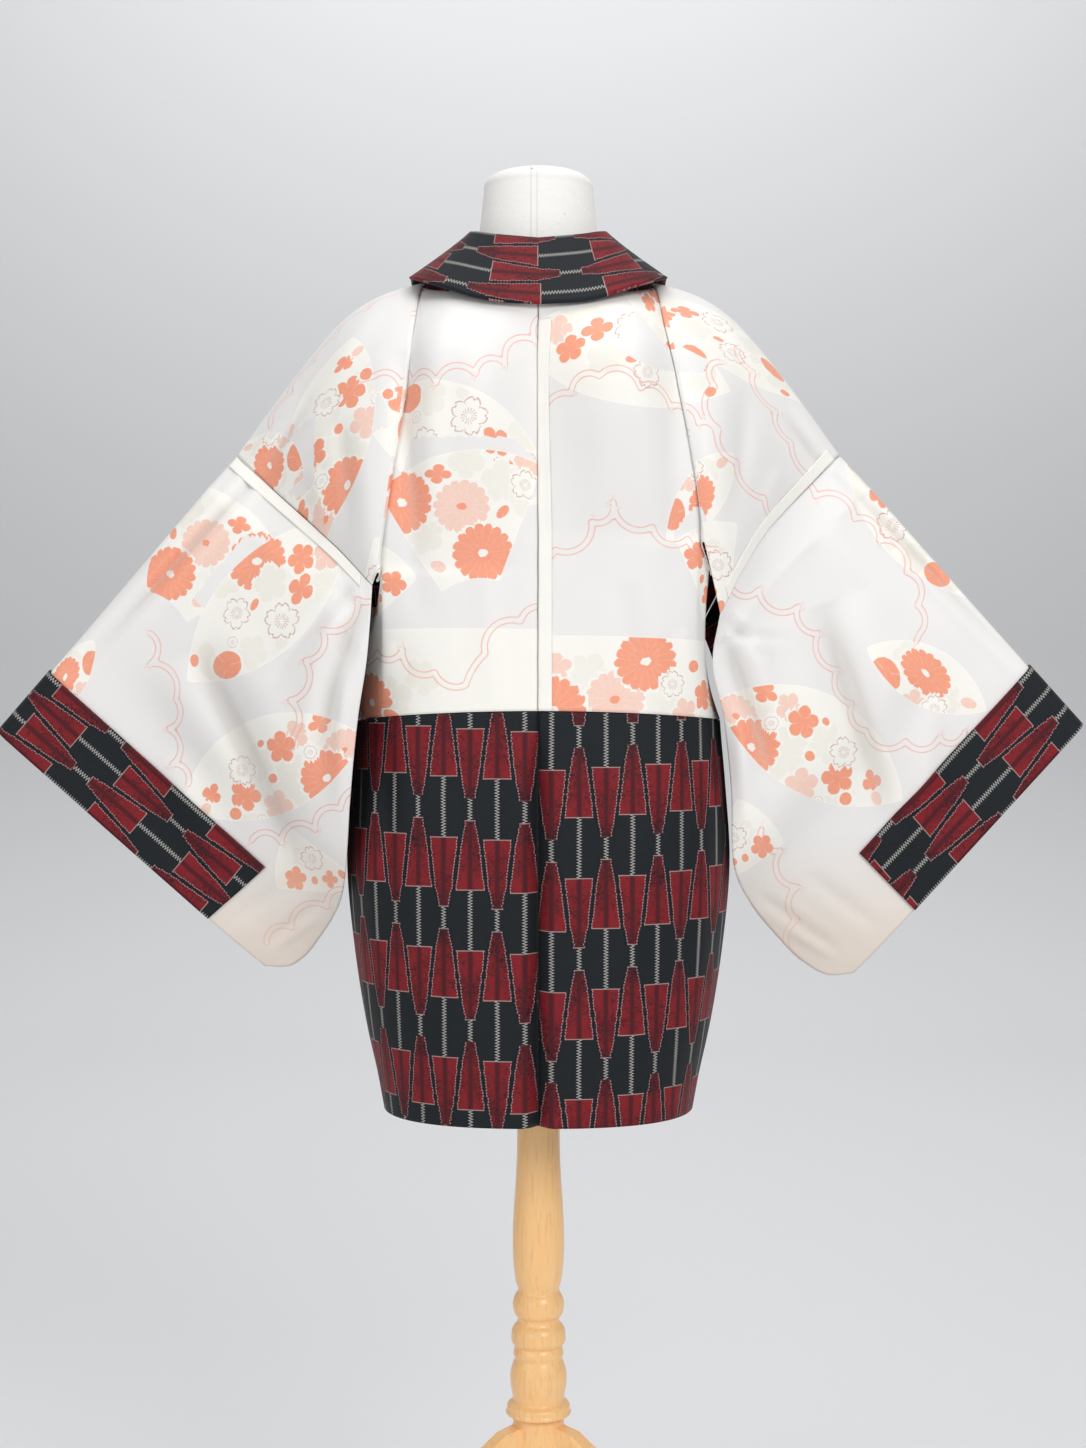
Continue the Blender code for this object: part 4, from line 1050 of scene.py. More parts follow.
def plain_silk(settings):
    """Undyed edge of the lining, for the seam allowances."""
    made, tree, shader = new_material("lining_selvedge")
    flat = flat_map(tree)
    streaks = noise(tree, flat, 180.0, 3.0, stretch=(1.0, 0.2, 1.0))
    tone = mix(tree, streaks, tinted(settings.cream, 0.97), tinted(settings.cream, 1.04))
    finish(tree, shader, tone, Roughness=0.5, Sheen_Weight=0.15)
    height = weave(tree, flat, 1900.0, 1500.0) * 0.2 + noise(tree, flat, 60.0, 2.0) * 1.5
    bump(tree, shader, height, 0.3, 0.0008)
    return made


def object_place(tree):
    return tree.nodes.new("ShaderNodeTexCoord").outputs["Object"]


# The form's canvas: yarns to the metre (times 2 pi), the tape down its back (x, half width) and
# the pin in its top edge (x, z, radius)
CANVAS_YARNS = 5200.0
TAPE = (-0.004, 0.0028)
PIN = (-0.006, 1.5005, 0.0011)
SPECK, STITCHING = (0.45, 0.38, 0.28), (0.30, 0.26, 0.22)


def canvas(settings):
    """Pale canvas with a sewn tape down the centre back and one pin."""
    made, tree, shader = new_material("form_canvas")
    place = object_place(tree)
    x, y, z = split(tree, place)
    yarn = (z * CANVAS_YARNS).math("SINE") * 0.5 + 0.5
    other = ((x + y) * CANVAS_YARNS).math("SINE") * 0.5 + 0.5
    slub = noise(tree, place, 420.0, 3.0, 0.6)
    speck = noise(tree, place, 260.0, 2.0).over(0.72, 0.03)
    tone = mix(tree, slub, tinted(settings.canvas, 0.93), tinted(settings.canvas, 1.05))
    tone = mix(tree, speck * 0.35, tone, SPECK)
    rear = (y + CENTRE).under(0.0, 0.001)
    tape = (x - TAPE[0]).size()
    sewn = (tape - TAPE[1]).size().under(0.00035, 0.0003) * rear
    aside, above = x - PIN[0], z - PIN[1]
    pin = (aside * aside + above * above).math("SQRT").under(PIN[2], 0.0006) * rear
    tone = mix(tree, sewn * 0.35 + pin * 0.7, tone, STITCHING)
    finish(tree, shader, tone, Roughness=0.9, Specular_IOR_Level=0.2)
    raised = tape.under(TAPE[1], 0.0004) * rear
    bump(tree, shader, yarn * 0.4 + other * 0.4 + slub * 0.7 + raised * 1.6, 0.35, 0.0003)
    return made


def beech(settings):
    """Varnished beech with an upright grain."""
    made, tree, shader = new_material("stand_beech")
    place = object_place(tree)
    fibre = noise(tree, place, 9.0, 6.0, 0.6, stretch=(9.0, 9.0, 0.6))
    fleck = noise(tree, place, 90.0, 2.0, 0.5, stretch=(4.0, 4.0, 0.35)).over(0.60, 0.1)
    tone = mix(tree, fibre, settings.grain, settings.wood)
    tone = mix(tree, fleck * 0.35, tone, tinted(settings.grain, 0.8))
    finish(tree, shader, tone, Roughness=0.33, Coat_Weight=0.25, Coat_Roughness=0.2)
    bump(tree, shader, fibre + fleck * 0.4, 0.12, 0.0006)
    return made


def shared(name, make, settings):
    return bpy.data.materials.get(name) or make(settings)


# ---- the print on the lining, in millimetres of flat cloth ----

# Motifs: petals, depth of the notches, tone (0 coral, 1 pale, 2 beige), 1 if drawn in outline
MOTIFS = {
    "chrysanthemum": (17, 0.16, 0, 0), "pale_chrysanthemum": (16, 0.16, 1, 0), "blossom": (5, 0.44, 0, 0),
    "pale_blossom": (5, 0.42, 1, 0), "shadow_blossom": (5, 0.40, 2, 0), "cherry": (5, 0.40, 1, 1),
    "bud": (3, 0.04, 0, 0), "pale_bud": (3, 0.04, 1, 0), "leaf_shadow": (2, 0.05, 2, 0),
    "sprig": (4, 0.62, 0, 0), "ring": (3, 0.03, 1, 1),
}
# Sprays: outline as x, y, bulge of the side that starts there; then motifs as kind, x, y, radius, squash,
# turn in degrees
SPRAYS = {
    "long_leaf": (
        ((-108, -16, 0.42), (104, -8, 0.46)),
        (
            ("shadow_blossom", -58, 20, 19, 1.0, 10), ("shadow_blossom", 38, 16, 17, 0.9, 50),
            ("leaf_shadow", 4, 26, 14, 0.5, 20), ("leaf_shadow", 76, -8, 17, 0.6, 60),
            ("shadow_blossom", -16, -20, 18, 0.9, 30), ("pale_blossom", -72, -4, 16, 0.9, 15),
            ("blossom", -52, -18, 15, 0.85, 40), ("sprig", -34, 4, 15, 0.8, 25),
            ("cherry", -2, 14, 17, 1.0, 12), ("cherry", 26, -22, 15, 0.9, 48),
            ("bud", 64, 8, 15, 0.85, -30), ("bud", 8, -16, 6, 0.55, 20), ("bud", 86, -18, 6, 0.7, 50),
            ("pale_bud", -88, -14, 6, 0.8, 0), ("ring", 46, -4, 5, 1.0, 0),
        ),
    ),
    "fan": (
        ((-74, 42, -0.27), (78, 36, 0), (25, -60, 0.24), (-26, -56, 0)),
        (
            ("shadow_blossom", -34, 30, 19, 1.0, 20), ("shadow_blossom", 36, -10, 18, 0.9, 5),
            ("leaf_shadow", -50, 12, 16, 0.5, 70), ("pale_chrysanthemum", 2, 12, 25, 0.92, 10),
            ("chrysanthemum", 56, 22, 29, 0.95, 30), ("chrysanthemum", -14, -30, 27, 0.95, 0),
            ("cherry", -56, 26, 14, 0.9, 30), ("sprig", 22, 42, 12, 0.7, 10),
            ("pale_bud", 26, -38, 7, 0.7, 30), ("bud", -34, 4, 7, 0.6, -40),
        ),
    ),
    "leaf": (
        ((-98, -6, 0.52), (100, -22, 0.4)),
        (
            ("shadow_blossom", -22, 4, 25, 1.0, 12), ("shadow_blossom", 6, -26, 20, 0.9, 44),
            ("shadow_blossom", 48, 12, 18, 1.0, 70), ("leaf_shadow", -64, -28, 18, 0.5, 40),
            ("pale_chrysanthemum", -76, -2, 22, 0.85, 8), ("chrysanthemum", -50, 14, 26, 1.0, 3),
            ("pale_blossom", 8, 18, 16, 1.0, 20), ("pale_blossom", -40, -34, 14, 0.9, 52),
            ("blossom", -22, -30, 15, 1.0, 33), ("blossom", 34, -6, 16, 1.0, 5),
            ("cherry", 26, -28, 14, 1.0, 15), ("sprig", -66, -34, 12, 0.8, 0),
            ("sprig", 66, -20, 12, 0.8, 40), ("bud", 0, -8, 5, 0.9, 0), ("bud", 52, 6, 6, 1.0, 0),
            ("ring", 30, 22, 5, 1.0, 0), ("bud", 36, 32, 5, 1.0, 0), ("ring", -46, -14, 6, 1.0, 0),
            ("bud", -4, -42, 4, 0.8, 20), ("pale_bud", 78, -10, 7, 0.7, 30),
        ),
    ),
    "petal": (
        ((-62, 10, 0.46), (66, -22, 0.38)),
        (
            ("shadow_blossom", -26, -10, 15, 1.0, 10), ("shadow_blossom", 32, -6, 14, 1.0, 40),
            ("bud", -32, 16, 17, 0.72, 12), ("chrysanthemum", -2, -10, 29, 0.62, 0),
            ("pale_blossom", 8, 20, 15, 0.9, 22), ("cherry", 26, 10, 13, 1.0, 8),
            ("pale_bud", 48, -16, 8, 0.6, -20),
        ),
    ),
    "small_fan": (
        ((-32, 30, -0.2), (30, 36, 0), (12, -36, 0.1), (-10, -34, 0)),
        (
            ("shadow_blossom", 6, 14, 13, 1.0, 0), ("blossom", -16, 16, 12, 0.9, 12),
            ("cherry", 10, 6, 12, 1.0, 33), ("sprig", -2, -16, 9, 0.9, 20), ("bud", 8, -26, 5, 0.7, 60),
            ("bud", -10, -2, 4, 0.8, 30),
        ),
    ),
    "band": (
        ((-190, 38, -0.04), (190, 30, 0), (190, -60, 0), (-190, -60, 0)),
        (
            ("shadow_blossom", 42, -20, 22, 1.0, 20), ("shadow_blossom", -28, 8, 20, 1.0, 60),
            ("pale_blossom", -58, 14, 16, 0.8, 15), ("pale_chrysanthemum", -4, -14, 27, 0.95, 6),
            ("chrysanthemum", 24, 20, 29, 0.92, 14), ("chrysanthemum", -60, -24, 31, 1.0, 0),
            ("blossom", 88, -10, 14, 1.0, 10), ("pale_blossom", 64, -26, 14, 1.0, 40),
            ("cherry", 50, 0, 12, 1.0, 22), ("bud", 72, 16, 6, 0.9, 0), ("bud", 14, -36, 12, 0.5, 10),
            ("chrysanthemum", 120, -6, 22, 0.9, 9),
        ),
    ),
    "bare_band": (
        ((-190, 42, -0.03), (190, 40, 0), (190, -60, 0), (-190, -60, 0)),
        (
            ("shadow_blossom", 40, -16, 24, 0.9, 12), ("shadow_blossom", 8, 4, 18, 0.8, 50),
            ("chrysanthemum", 66, -18, 28, 0.95, 9), ("bud", 40, -30, 10, 0.5, 20),
            ("pale_bud", 92, 8, 8, 0.8, 0),
        ),
    ),
}
# Sprays on each piece as name, u, v, turn, scale; and the lines that the clouds' scallops follow
DESIGNS = {
    "body_left": (
        (
            ("long_leaf", 76, 1243, 22, 1.0), ("fan", 66, 1166, -6, 1.0), ("bare_band", 96, 1024, 0, 1.0),
            ("leaf", 186, 1252, 104, 1.0), ("small_fan", 150, 1105, 30, 1.0), ("petal", 262, 1262, 60, 0.8),
            ("leaf", 236, 1716, 60, 1.0), ("fan", 168, 1680, 190, 1.0), ("long_leaf", 138, 1850, -70, 1.0),
        ),
        (
            ((-12, 1352, 1), (10, 1318, 1), (52, 1296, 1), (100, 1284, 1), (170, 1296, 1)),
            ((-12, 1086, 1), (30, 1070, 1), (70, 1018, -1), (118, 1052, -1), (175, 1046, -1)),
            ((150, 1425, 1), (190, 1392, 1), (232, 1350, 1), (268, 1296, 1)),
            ((90, 1580, 1), (140, 1592, 1), (200, 1612, 1), (262, 1650, 1)),
        ),
    ),
    "body_right": (
        (
            ("long_leaf", 88, 1322, -14, 1.0), ("petal", 146, 1190, 62, 0.85), ("band", 72, 1022, 0, 1.0),
            ("long_leaf", 176, 1368, -20, 0.95), ("small_fan", 164, 1120, 8, 1.15),
            ("fan", 196, 1690, 160, 1.0), ("leaf", 134, 1800, 70, 1.0), ("petal", 132, 1906, 80, 1.0),
        ),
        (
            ((-14, 1226, 1), (18, 1262, 1), (62, 1290, 1), (112, 1274, 1), (172, 1244, 1)),
            ((-14, 1138, -1), (34, 1146, -1), (62, 1182, -1), (98, 1162, -1), (172, 1142, -1)),
            ((178, 1318, -1), (170, 1262, -1), (196, 1220, -1), (240, 1186, -1)),
            ((198, 1352, -1), (230, 1304, -1), (254, 1262, -1), (296, 1232, -1)),
            ((90, 1600, 1), (140, 1610, 1), (200, 1620, 1), (270, 1670, 1)),
        ),
    ),
    "sleeve_left": (
        (
            ("fan", 92, 46, 100, 1.0), ("long_leaf", 86, 140, -8, 1.0), ("leaf", 204, 246, -24, 0.98),
            ("small_fan", 242, 322, 200, 1.0), ("petal", 262, 30, 20, 0.7), ("leaf", 150, -130, 30, 1.0),
            ("fan", 250, -250, 190, 1.0), ("long_leaf", 90, -240, 0, 1.0),
        ),
        (
            ((178, 60, 1), (204, 84, 1), (210, 124, 1), (250, 136, 1), (262, 178, 1)),
            ((0, 206, 1), (48, 190, 1), (100, 196, 1), (146, 214, 1), (166, 236, 1)),
            ((262, 258, 1), (232, 292, 1), (176, 306, 1), (124, 332, 1)),
            ((330, 330, 1), (262, 352, 1), (216, 366, 1)),
            ((20, -60, 1), (80, -80, 1), (140, -60, 1), (230, -90, 1)),
        ),
    ),
    "sleeve_right": (
        (
            ("long_leaf", 84, 4, 4, 0.95), ("petal", 208, 98, -8, 1.0), ("leaf", 188, 232, -16, 1.02),
            ("small_fan", 206, 330, 170, 1.0), ("fan", 120, -120, 200, 1.0), ("leaf", 240, -230, 10, 1.0),
            ("petal", 90, -260, 40, 1.0),
        ),
        (
            ((-14, 66, -1), (66, 40, -1), (140, 44, -1), (176, 76, -1)),
            (
                (18, 178, 1), (72, 142, 1), (128, 146, 1), (170, 158, 1), (212, 166, 1), (252, 128, 1),
                (272, 96, 1),
            ),
            ((206, 302, 1), (262, 304, 1), (300, 332, 1), (328, 356, 1)),
            ((30, -60, 1), (100, -50, 1), (180, -70, 1), (260, -60, 1)),
        ),
    ),
}
SCALLOPS = (34.0, 28.0, 42.0, 31.0, 38.0)  # widths in turn
ROUNDNESS, SHORTEST = 0.60, 12.0  # bulge of a scallop, and the width below which one is left out
FAR_OFF = 60.0  # stands for any distance that isn't worked out
REACH = 12.0  # distances are worked out this far round a figure
PLAIN = 6.0  # faces farther than this from a cloud line carry none of it
PAIR = 2.6  # each of the two cloud lines lies this far from their middle


def arc(start, end, bulge, count=9):
    """Points along an arc from start up to end; a positive bulge lies to the left."""
    way = end - start
    run = np.linalg.norm(way)
    if abs(bulge) < 1e-4:
        return start + way * np.linspace(0, 1, count)[:-1, None]
    along, left = way / run, np.array([-way[1], way[0]]) / run
    radius = run / 4 * (1 / abs(bulge) + abs(bulge))
    half = 2 * math.atan(abs(bulge))
    turn = np.linspace(-half, half, count)[:-1, None]
    rise = radius * (np.cos(turn) - math.cos(half)) * math.copysign(1.0, bulge)
    return (start + end) / 2 + along * radius * np.sin(turn) + left * rise


def placed(points, u, v, turn, scale):
    """Points of a spray on the cloth, turned and scaled about its middle."""
    c, s = math.cos(math.radians(turn)), math.sin(math.radians(turn))
    return np.asarray(points, float) @ np.array([[c, s], [-s, c]]) * scale + np.array([u, v])


def distance_to(points, line):
    """Distance from each point to a chain of straight pieces, negative to its left."""
    best, side = np.full(len(points), 1e9), np.ones(len(points))
    for start, end in zip(line, line[1:]):
        way = end - start
        share = np.clip((points - start) @ way / max(way @ way, 1e-9), 0, 1)
        off = points - start - share[:, None] * way
        gap = np.einsum("ij,ij->i", off, off)
        nearer = gap < best
        best[nearer] = gap[nearer]
        cross = way[0] * (points[:, 1] - start[1]) - way[1] * (points[:, 0] - start[0])
        side[nearer] = np.where(cross[nearer] > 0, -1.0, 1.0)
    return np.sqrt(best) * side


def inside(points, loop):
    """Which points lie inside a closed chain."""
    odd = np.zeros(len(points), bool)
    for (x1, y1), (x2, y2) in zip(loop, loop[1:]):
        if y1 != y2:
            cuts = (y1 > points[:, 1]) != (y2 > points[:, 1])
            odd ^= cuts & (points[:, 0] < (x2 - x1) * (points[:, 1] - y1) / (y2 - y1) + x1)
    return odd


def near(points, line):
    """Which points lie within REACH of the box round a chain."""
    low, high = line.min(0) - REACH, line.max(0) + REACH
    return np.all((points > low) & (points < high), axis=1)


def scalloped(guide):
    """Chain of scallops along a guide of u, v, side points."""
    rows = np.array(guide, float)
    run = chain_run(rows[:, :2])
    table = np.column_stack((run, rows[:, :2]))
    stops = [0.0]
    while stops[-1] < run[-1]:
        stops.append(stops[-1] + SCALLOPS[len(stops) % len(SCALLOPS)])
    cusps = spline(table, np.minimum(stops, run[-1]))
    sides = np.interp(stops, run, rows[:, 2])
    parts = [
        arc(a, b, ROUNDNESS * side)
        for a, b, side in zip(cusps, cusps[1:], sides) if np.linalg.norm(b - a) > SHORTEST
    ]
    return np.concatenate(parts + [cusps[-1:]])


def petal_bound(turn, petals, notch):
    """Edge of a flower of radius 1 in a direction."""
    return notch * np.sqrt(np.abs(np.cos(turn * petals / 2))) + 1 - notch


def print_design(piece, design):
    """Write the print onto a sheet: distance to the grounds and cloud lines, and each face's own flower."""
    sprays, clouds = design
    mesh = piece.data
    uv = map_of(mesh) * 1000.0
    count = len(uv)
    starts, totals = np.empty(len(mesh.polygons), int), np.empty(len(mesh.polygons), int)
    mesh.polygons.foreach_get("loop_start", starts)
    mesh.polygons.foreach_get("loop_total", totals)
    middle = np.add.reduceat(uv, starts) / totals[:, None]
    face_of = np.repeat(np.arange(len(starts)), totals)
    ground, cloud = np.full(count, FAR_OFF), np.full(count, FAR_OFF)
    flower = np.tile((9.0, 9.0, 5.0), (count, 1))
    look = np.zeros((count, 3))
    for name, u, v, turn, scale in sprays:
        outline, motifs = SPRAYS[name]
        corners = placed([corner[:2] for corner in outline], u, v, turn, scale)
        sides = [corner[2] for corner in outline]
        loop = np.concatenate(
            [arc(a, b, -k, 17) for a, b, k in zip(corners, np.roll(corners, -1, 0), sides)] + [corners[:1]]
        )
        pick = near(uv, loop)
        signed = np.abs(distance_to(uv[pick], loop)) * np.where(inside(uv[pick], loop), -1.0, 1.0)
        held = ground[pick]
        nearer = (signed < 0) | (np.abs(signed) < np.abs(held))
        both = (signed < 0) & (held < 0)
        ground[pick] = np.where(both, np.maximum(signed, held), np.where(nearer, signed, held))
        for kind, x, y, radius, squash, spin in motifs:
            petals, notch, tone, drawn = MOTIFS[kind]
            at = placed([(x, y)], u, v, turn, scale)[0]
            angle = math.radians(spin + turn)
            c, s = math.cos(angle), math.sin(angle)
            to_local = np.array([[c, -s / squash], [s, c / squash]]) / (radius * scale)
            local = (middle - at) @ to_local
            reach = np.hypot(local[:, 0], local[:, 1])
            bound = petal_bound(np.arctan2(local[:, 1], local[:, 0]), petals, notch)
            chosen = (reach < bound + 2.8 / radius)[face_of]
            flower[chosen, :2] = (uv[chosen] - at) @ to_local
            flower[chosen, 2] = petals
            look[chosen] = (notch, tone, drawn)
    for guide in clouds:
        line = scalloped(guide)
        pick = near(uv, line)
        signed = distance_to(uv[pick], line)
        cloud[pick] = np.where(np.abs(signed) < np.abs(cloud[pick]), signed, cloud[pick])
    far = np.minimum.reduceat(np.abs(cloud), starts)[face_of] > PLAIN
    cloud[far] = np.abs(cloud[far])
    for name, kind, key, values in (
        ("ground", "FLOAT", "value", ground), ("cloud", "FLOAT", "value", cloud),
        ("flower", "FLOAT_VECTOR", "vector", flower), ("look", "FLOAT_VECTOR", "vector", look),
    ):
        mesh.attributes.new(name, kind, "CORNER").data.foreach_set(key, np.ravel(values))


# ---- studio ----

WORLD_LIGHT, WORLD_TINT = 0.43, (0.985, 0.99, 1.0, 1.0)
EYE, LENS, SHIFT = (0.0043, -1.9 - CENTRE, 0.990), 49.72, -0.0028
BACKDROP_WIDTH, FLOOR_NEAR, WALL, WALL_HEIGHT = 20.0, -8.0, 6.0, 6.0
CURVE = 2.0  # radius between floor and wall
FLOOR_DROP = 0.0005  # the floor lies this far below the stand's feet
LIGHTS = (
    # name, place, aim, size, power
    ("key_softbox", (1.6, -3.2, 2.6), (0.0, 0.0, 1.0), 1.5, 60.0),
    ("fill_softbox", (-2.2, -2.8, 1.6), (0.0, 0.0, 1.0), 2.2, 23.0),
    ("top_softbox", (0.0, -0.4, 3.6), (0.0, 0.0, 1.0), 2.2, 30.0),
    ("wall_softbox", (0.0, 2.6, 5.0), (0.0, 6.0, 2.0), 3.6, 90.0),
)


def sweep_line(share):
    """Floor, curve and wall of the backdrop: y and z at a share of its length."""
    if share < 0.4:
        return FLOOR_NEAR + share / 0.4 * (WALL - CURVE - FLOOR_NEAR), -FLOOR_DROP
    if share < 0.7:
        turn = (share - 0.4) / 0.3 * math.pi / 2
        return WALL - CURVE + CURVE * math.sin(turn), CURVE - CURVE * math.cos(turn) - FLOOR_DROP
    return WALL, CURVE + (share - 0.7) / 0.3 * WALL_HEIGHT


def paper(settings):
    """Backdrop paper with painted light, a little lighter on the floor and high on the wall."""
    made, tree, shader = new_material("backdrop_paper")
    place = object_place(tree)
    height = split(tree, place)[2]
    tone = settings.backdrop
    shade = mix(tree, noise(tree, place, 0.8, 2.0), tinted(tone, 0.99), tinted(tone, 1.01))
    # painted light: the paper is drawn lighter high on the wall and on the floor
    shade = mix(tree, height.over(2.6, 2.6), shade, tinted(tone, 1.40))
    shade = mix(tree, height.under(0.40, 1.1), shade, tinted(tone, 1.42))
    finish(tree, shader, shade, Roughness=0.9)
    return made


# ---- operators ----


def chosen():
    return bpy.context.scene.haori


def sleeve_grid(side):
    grid = sleeve_points(side, *np.meshgrid(SLEEVE_COLUMNS, SLEEVE_DOWN))
    grid[..., :3] = pull(grid[..., :3], 0, ARM_GAP)
    return grid


def lining_piece(name, cut, grids, mirror, outward, nodes):
    """Sew, crease and print one piece of the lining, backed with the outer cloth, and hide the parts it
    stands in for.
    """
    lining = shared("lining_cloth", lining_cloth, chosen().lining)
    outer = shared("outer_cloth", outer_cloth, chosen().outer)
    piece = sheet(name, grids, mirror, outward, crease(CREASES[cut]))
    print_design(piece, DESIGNS[cut])
    give_wall(piece, chosen().lining.wall, lining, outer)
    hand_in(piece, "lining", nodes)


class MakeBodyLinings(Operator):
    """Sew the two lining panels of the body, with the pleat behind each arm"""

    bl_idname = "haori.body_linings"
    bl_label = "Body linings"

    def execute(self, context):
        for side, mirror in SIDES.items():
            lining_piece(
                "lining_panel_" + side, "body_" + side, body_lining(side), mirror, from_axis,
                ["body_lining_" + side],
            )
        return {"FINISHED"}


class MakeSleeves(Operator):
    """Sew the two wide sleeves"""

    bl_idname = "haori.sleeves"
    bl_label = "Sleeves"

    def execute(self, context):
        for side, mirror in SIDES.items():
            lining_piece(
                "sleeve_silk_" + side, "sleeve_" + side, [sleeve_grid(side)], mirror, front_and_back,
                ["sleeve_" + side],
            )
        return {"FINISHED"}


class MakeCuffBands(Operator):
    """Sew the bands of outer cloth round the wrists"""

    bl_idname = "haori.cuff_bands"
    bl_label = "Cuff bands"

    def execute(self, context):
        outer = shared("outer_cloth", outer_cloth, chosen().outer)
        for side, mirror in SIDES.items():
            grid = sleeve_points(side, *np.meshgrid(SLEEVE_COLUMNS, SLEEVE_DOWN))
            band = cuff_points(grid, CUFF_LENGTH[side])
            band[..., 4] += CUFF_FIGURES[side]
            folds = crease(CREASES["sleeve_" + side])
            piece = sheet("cuff_silk_" + side, [band], mirror, front_and_back, folds)
            give_wall(piece, chosen().outer.wall, outer, outer)
            hand_in(piece, "outer", ["cuff_band_" + side])
        return {"FINISHED"}


class MakeHem(Operator):
    """Sew the deep hem of outer cloth: two backs, two fronts and the side gussets"""

    bl_idname = "haori.hem"
    bl_label = "Hem"

    def execute(self, context):
        outer = shared("outer_cloth", outer_cloth, chosen().outer)
        rows = np.linspace(0, 1, 120)
        for side, mirror in SIDES.items():
            for name, start, end, count, shift in (
                ("back_hem", None, 0, 90, 0.012), ("gusset", 0, 1, 16, 0.024), ("front_hem", 1, 2, 50, 0.012),
            ):
                grid = hem_panel(start, end, np.linspace(0, 1, count), rows)
                grid[..., 3] += shift
                grid[..., 4] += HEM_FIGURES[side]
                folds = crease(CREASES.get(name + "_" + side, ()))
                piece = sheet(name + "_silk_" + side, [grid], mirror, from_axis, folds)
                give_wall(piece, chosen().outer.wall, outer, outer)
                hand_in(piece, "outer", [name + "_" + side])
        return {"FINISHED"}


class MakeCollar(Operator):
    """Fold the collar band round the neck and down both fronts"""

    bl_idname = "haori.collar"
    bl_label = "Collar"

    def execute(self, context):
        outer = shared("outer_cloth", outer_cloth, chosen().outer)
        piece = sheet("collar_band", [collar_points()], 1.0, from_axis)
        give_wall(piece, chosen().outer.collar_wall, outer, outer)
        hand_in(piece, "outer", ["collar"])
        return {"FINISHED"}


class MakeAllowances(Operator):
    """Lay the pressed seam allowances along the centre back and the armholes"""

    bl_idname = "haori.allowances"
    bl_label = "Seam allowances"

    def execute(self, context):
        silk = shared("lining_selvedge", plain_silk, chosen().lining)
        for side, mirror in SIDES.items():
            if side == "left":
                rows, start = sleeve_grid(side)[(SLEEVE_DOWN > 0.03) & (SLEEVE_DOWN < 0.93)], 0
            else:
                rows, start = body_lining(side)[0][8:-8], -1
            lay_strip("armhole_" + side, rows, start, mirror, silk)
        grids = body_lining("right")
        rows = np.concatenate((grids[3][8:-1, :30], grids[4][:, :30]))
        lay_strip("back", rows, 0, 1.0, silk)
        return {"FINISHED"}


def lay_strip(seam, rows, start, mirror, silk):
    """A narrow strip that lies on a panel along one of its edges."""
    reach = np.linspace(0.0002, STRIP, 9)
    grid = np.stack([row_walk(rows, d, start) for d in reach], axis=1)
    normal = surface_normals(grid[..., :3])
    if np.sum(normal[..., 1]) > 0:
        normal = -normal
    grid[..., :3] += normal * (STRIP_RISE + STRIP_WAVE * np.sin(grid[..., 2:3] * 140.0))
    piece = sheet("allowance_" + seam, [grid], mirror, to_back)
    give_wall(piece, STRIP_WALL, silk, silk)
    hand_in(piece, "lining", ["seam_allowance_" + seam], STRIP)


class MakeForm(Operator):
    """Cover the limbless form with canvas"""

    bl_idname = "haori.form"
    bl_label = "Dress form"

    def execute(self, context):
        foot, neck, crown = TORSO[0][0], 1.40, TORSO[-1][0]
        heights = np.concatenate((np.linspace(foot, neck, 90)[:-1], np.linspace(neck, crown, 70)))
        rings = spline(TORSO, heights)
        turn = np.linspace(0, 2 * math.pi, 129)
        c, s = np.cos(turn), np.sin(turn)
        power = 2 / rings[:, 3:4]
        x = rings[:, 0:1] * np.sign(c) * np.abs(c) ** power
        deep = np.where(s > 0, rings[:, 2:3], rings[:, 1:2])
        y = deep * np.sign(s) * np.abs(s) ** power
        z = np.broadcast_to(heights[:, None], x.shape)
        piece = sheet("form_cover", [np.stack((x, y, z, x * 0, z), -1)], 1.0, from_axis, close_ends)
        piece.data.materials.append(shared("form_canvas", canvas, chosen().stand))
        stand_in(piece, "form", "form_torso")
        return {"FINISHED"}


def close_ends(cloth):
    bmesh.ops.holes_fill(cloth, edges=[edge for edge in cloth.edges if edge.is_boundary])


def turned(table):
    """A turned part from its table of heights and radii, closed at both ends."""
    rows = np.array(table)
    heights = rows[:, 0]
    fine = np.concatenate([np.linspace(a, b, 5)[:-1] for a, b in zip(heights, heights[1:])] + [heights[-1:]])
    radii = spline(rows * (-1.0, 1.0), -fine)[:, 0]
    lathe = bmesh.new()
    previous = lathe.verts.new((0, -CENTRE, fine[0]))
    for radius, height in list(zip(radii, fine)) + [(0.0, fine[-1])]:
        vert = lathe.verts.new((radius, -CENTRE, height))
        lathe.edges.new((previous, vert))
        previous = vert
    bmesh.ops.spin(
        lathe, geom=lathe.verts[:] + lathe.edges[:], cent=(0, -CENTRE, 0), axis=(0, 0, 1),
        angle=2 * math.pi, steps=72, use_merge=True, use_duplicate=False,
    )
    bmesh.ops.remove_doubles(lathe, verts=lathe.verts, dist=0.00001)
    bmesh.ops.recalc_face_normals(lathe, faces=lathe.faces)
    return lathe


class MakeStand(Operator):
    """Turn the column and hub, and finish the legs"""

    bl_idname = "haori.stand"
    bl_label = "Stand"

    def execute(self, context):
        wood = shared("stand_beech", beech, chosen().stand)
        for part, table in (("column", COLUMN), ("hub", HUB)):
            piece = piece_from(part + "_turned", turned(table))
            piece.data.materials.append(wood)
            stand_in(piece, "wood", "stand_" + part)
        for node in ("stand_leg_front", "stand_leg_left", "stand_leg_right"):
            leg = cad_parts[node]
            leg.data.materials.clear()
            leg.data.materials.append(wood)
        return {"FINISHED"}


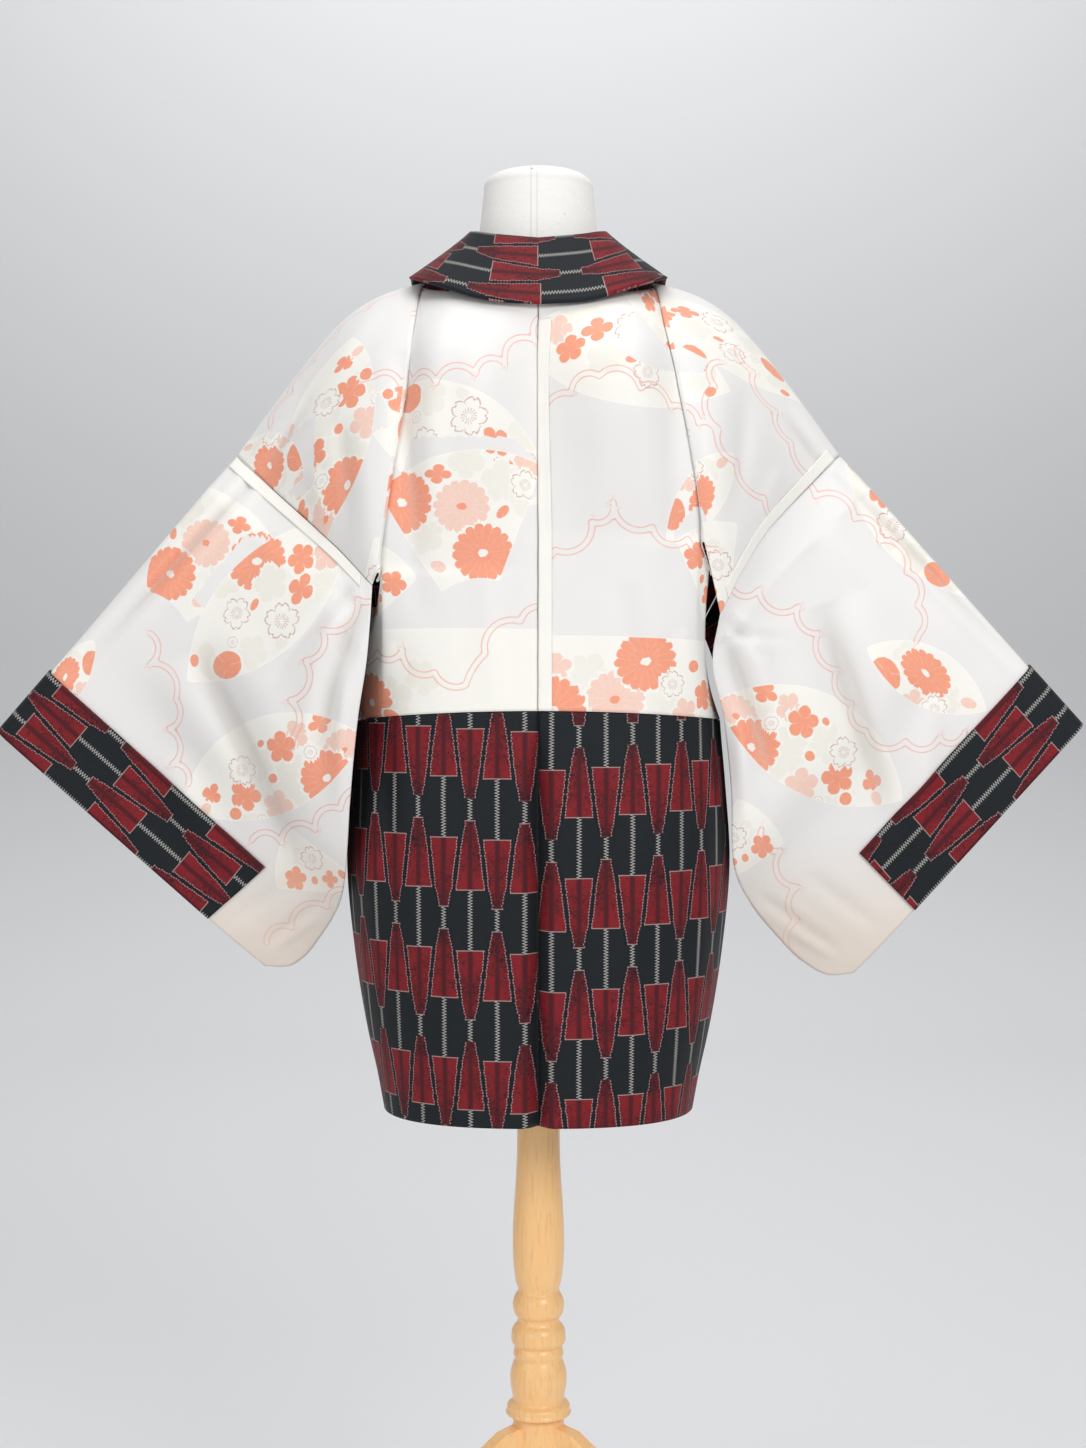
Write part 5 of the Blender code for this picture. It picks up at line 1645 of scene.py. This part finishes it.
class MakeStage(Operator):
    """Set up the plain studio, its lights and the camera"""

    bl_idname = "haori.stage"
    bl_label = "Studio"

    def execute(self, context):
        scene = context.scene
        sweep = bmesh.new()
        bmesh.ops.create_grid(sweep, x_segments=2, y_segments=40, size=0.5)
        for vert in sweep.verts:
            vert.co = (vert.co.x * BACKDROP_WIDTH, *sweep_line(vert.co.y + 0.5))
        bmesh.ops.recalc_face_normals(sweep, faces=sweep.faces)
        backdrop = piece_from("backdrop", sweep)
        backdrop.data.materials.append(shared("backdrop_paper", paper, chosen().stage))
        for name, where, aim, wide, power in LIGHTS:
            lamp = bpy.data.lights.new(name, "AREA")
            lamp.shape, lamp.size, lamp.size_y, lamp.energy = "RECTANGLE", wide, wide, power
            light = bpy.data.objects.new(name, lamp)
            light.location = where
            way = Vector(aim) - Vector(where)
            light.rotation_euler = way.to_track_quat("-Z", "Y").to_euler()
            scene.collection.objects.link(light)
        world = bpy.data.worlds.new("studio")
        scene.world = world
        world.use_nodes = True
        sky = world.node_tree.nodes["Background"]
        sky.inputs["Color"].default_value = WORLD_TINT
        sky.inputs["Strength"].default_value = WORLD_LIGHT
        camera = bpy.data.cameras.new("camera")
        camera.sensor_fit, camera.sensor_height, camera.sensor_width = "VERTICAL", 36.0, 27.0
        camera.lens, camera.shift_y, camera.clip_end = LENS, SHIFT, 50.0
        eye = bpy.data.objects.new("camera", camera)
        eye.location = EYE
        eye.rotation_euler = (math.radians(90), 0.0, 0.0)
        scene.collection.objects.link(eye)
        scene.camera = eye
        scene.view_settings.view_transform = "Standard"
        return {"FINISHED"}


class HaoriPanel(Panel):
    """Lists the steps in the sidebar"""

    bl_idname = "VIEW3D_PT_haori"
    bl_label = "Haori"
    bl_space_type = "VIEW_3D"
    bl_region_type = "UI"
    bl_category = "Haori"

    def draw(self, context):
        for step in STEPS:
            self.layout.operator(step.bl_idname)


STEPS = (
    MakeBodyLinings, MakeSleeves, MakeCuffBands, MakeHem, MakeCollar, MakeAllowances,
    MakeForm, MakeStand, MakeStage,
)
CLASSES = (LiningSettings, OuterSettings, StandSettings, StageSettings, HaoriSettings) + STEPS + (HaoriPanel,)


def register():
    for item in CLASSES:
        bpy.utils.register_class(item)
    bpy.types.Scene.haori = PointerProperty(type=HaoriSettings)


def unregister():
    del bpy.types.Scene.haori
    for item in reversed(CLASSES):
        bpy.utils.unregister_class(item)


def main():
    register()
    for step in STEPS:
        group, name = step.bl_idname.split(".")
        getattr(getattr(bpy.ops, group), name)()


if __name__ == "__main__":
    main()
